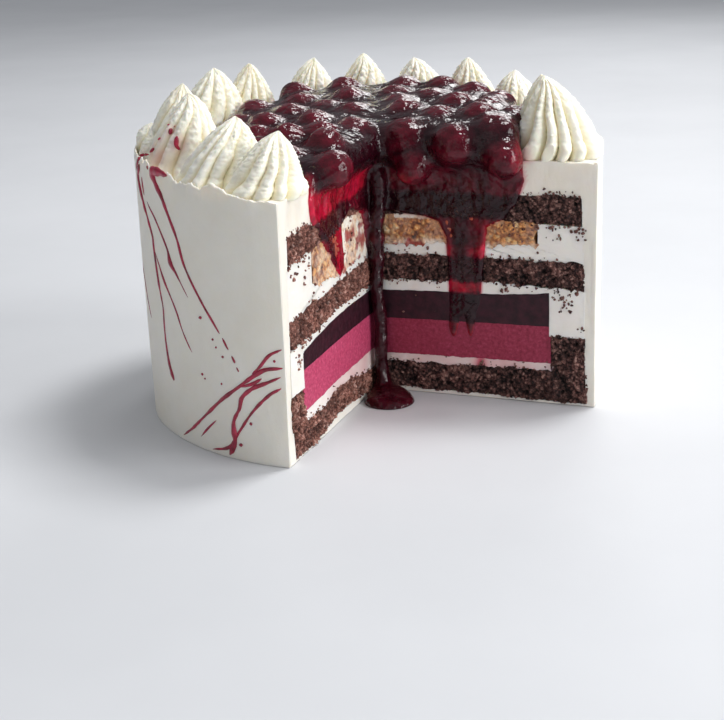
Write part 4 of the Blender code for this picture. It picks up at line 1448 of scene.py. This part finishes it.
def crumb_places(draw):
    """(share, s, z, size) of every crumb."""
    rows = []
    for share in (0.0, 1.0):
        for name, drift, first, last in CRUMB_EDGES:
            s = draw.uniform(first, last, EDGE_CRUMBS) * MM
            z = edge_height(name, s, share) + drift * draw.exponential(0.9, EDGE_CRUMBS) * MM
            size = draw.uniform(0.18, 0.52, EDGE_CRUMBS)
            rows += list(zip(np.full(EDGE_CRUMBS, share), s, z, size))
    for share, s, z, spread, count in CRUMB_SPOTS:
        near = draw.normal(0.0, spread, (count, 2))
        size = draw.uniform(0.22, 0.75, count)
        rows += [
            (float(share), (s + a) * MM, (z + b) * MM, one) for (a, b), one in zip(near, size)
        ]
    return rows


def make_crumbs(material):
    draw = np.random.default_rng(41)
    ball, faces = unit_ball(2)
    parts = []
    for share, s, z, size in crumb_places(draw):
        if not CRUMB_START < s < CRUMB_END or stain_at(share, s, z) > 0.5:
            continue
        lumps = 1.0 + 0.5 * FINE.rough(ball + draw.uniform(0, 9), 0.9, 2)
        shape = ball * lumps[:, None] * draw.uniform(0.6, 1.3, 3) * size * MM
        centre = to_world(share, np.array([s]), np.array([z]), 0.35 * size * MM)
        parts.append((shape + centre, faces))
    verts, tris = joined(parts)
    marks = {
        "depth": np.clip(FINE.at(verts, 0.0011), 0.0, 0.35),
        # Painted light: crumbs on the left cut face take the sponge's lit colours, those on the right
        # its shaded ones
        "pale": np.where(verts[:, 0] < -verts[:, 1], 0.8, 0.25),
    }
    obj = mesh_object("cut_crumbs", verts, [], material, marks, tris)
    place(obj, "sponge")


# Stage, light and camera

# The camera as solved from the photograph's view of the cake: lens in pixels, place in metres,
# and its turns in degrees about Z, X and then Z
LENS_PX = 1500.0
PHOTO_WIDTH = 724
PHOTO_HEIGHT = 720
SENSOR = 36.0
FLOOR_REACH = 4.0
FLOOR_GAP = 0.0002
CAMERA_AT = (0.22622, -0.60350, 0.22432)
CAMERA_TURNS = ((21.083, "Z"), (71.871, "X"), (-2.023, "Z"))
# Name, place, aim, size, and power in watts
LIGHTS = (
    ("key", (1.50, 0.05, 0.80), (0.0, 0.0, 0.05), (0.70, 0.70), 12.5),
    ("window", (0.35, 0.45, 1.40), (0.0, 0.0, 0.05), (0.42, 0.50), 14.5),
    ("back", (-0.15, 1.45, 0.85), (0.0, 0.0, 0.05), (0.50, 0.45), 4.5),
    ("strip", (1.15, -0.40, 0.26), (0.0, 0.0, 0.06), (0.30, 0.50), 3.8),
    ("fill", (-0.2, -1.9, 0.8), (0.0, 0.0, 0.05), (1.8, 1.2), 2.9),
)


def make_stage():
    bm = bmesh.new()
    bmesh.ops.create_grid(bm, x_segments=2, y_segments=2, size=FLOOR_REACH)
    mesh = bpy.data.meshes.new("floor")
    bm.to_mesh(mesh)
    bm.free()
    floor = bpy.data.objects.new("floor", mesh)
    floor.location.z = -FLOOR_GAP
    bpy.context.scene.collection.objects.link(floor)
    material, tree = new_material("floor_pale", Roughness=0.6, Specular_IOR_Level=0.3)
    tone = ramp(tree, noise_node(tree, 6.0), (0.3, (0.62, 0.63, 0.65)), (0.7, (0.66, 0.67, 0.69)))
    mesh.materials.append(finished(material, tone, None))


def area_light(name, place_at, aim, size, power):
    light = bpy.data.lights.new(name, "AREA")
    light.shape = "RECTANGLE"
    light.size, light.size_y = size
    light.energy = power
    obj = bpy.data.objects.new(name, light)
    bpy.context.scene.collection.objects.link(obj)
    obj.location = place_at
    direction = Vector(aim) - Vector(place_at)
    obj.rotation_euler = direction.to_track_quat("-Z", "Y").to_euler()


def make_lights():
    world = bpy.data.worlds.new("soft")
    bpy.context.scene.world = world
    world.use_nodes = True
    tree = world.node_tree
    background = tree.nodes["Background"]
    around = tree.nodes.new("ShaderNodeTexCoord")
    split = tree.nodes.new("ShaderNodeSeparateXYZ")
    tree.links.new(around.outputs["Generated"], split.inputs["Vector"])
    sky = ramp(tree, split.outputs["Z"], (0.0, (0.20, 0.205, 0.215)), (0.75, (0.74, 0.76, 0.80)))
    tree.links.new(sky, background.inputs["Color"])
    background.inputs["Strength"].default_value = 0.56
    for row in LIGHTS:
        area_light(*row)


def make_camera():
    camera = bpy.data.cameras.new("camera")
    camera.sensor_width = SENSOR
    camera.lens = LENS_PX / PHOTO_WIDTH * SENSOR
    camera.clip_end = 20.0
    obj = bpy.data.objects.new("camera", camera)
    bpy.context.scene.collection.objects.link(obj)
    matrix = Matrix.Translation(CAMERA_AT)
    for degrees, axis in CAMERA_TURNS:
        matrix = matrix @ Matrix.Rotation(math.radians(degrees), 4, axis)
    obj.matrix_world = matrix
    bpy.context.scene.camera = obj
    bpy.context.scene.view_settings.view_transform = "Standard"


def main():
    make_camera()
    make_lights()
    make_stage()
    materials = {
        "frosting": frosting_material("frosting_satin", (0.90, 0.850, 0.765), (0.86, 0.805, 0.705),
                                      (1.0, 1.0, 0.4)),
        "swirl": frosting_material("frosting_piped", (0.95, 0.925, 0.83), (0.93, 0.89, 0.73),
                                   torn=0.00010),
        "cream": frosting_material("cream_filling", (0.90, 0.875, 0.82), (0.87, 0.83, 0.76)),
        "sponge": sponge_material(),
        "mousse": mousse_material(),
        "jelly": jelly_material(),
        "crunch": crunch_material(),
        "cherry": glossy_material("cherry_skin", 0.09),
        "sauce": glossy_material("cherry_glaze", 0.07),
        "splash": splash_material(),
    }
    make_layers(materials)
    make_frosting(materials["frosting"])
    make_skin(materials["frosting"])
    for number, row in enumerate(SWIRLS, start=1):
        make_swirl(number, row, materials["swirl"])
    make_cherries(materials["cherry"])
    make_sauce(materials["sauce"])
    make_crumbs(materials["sponge"])
    make_splashes(materials["splash"])


main()
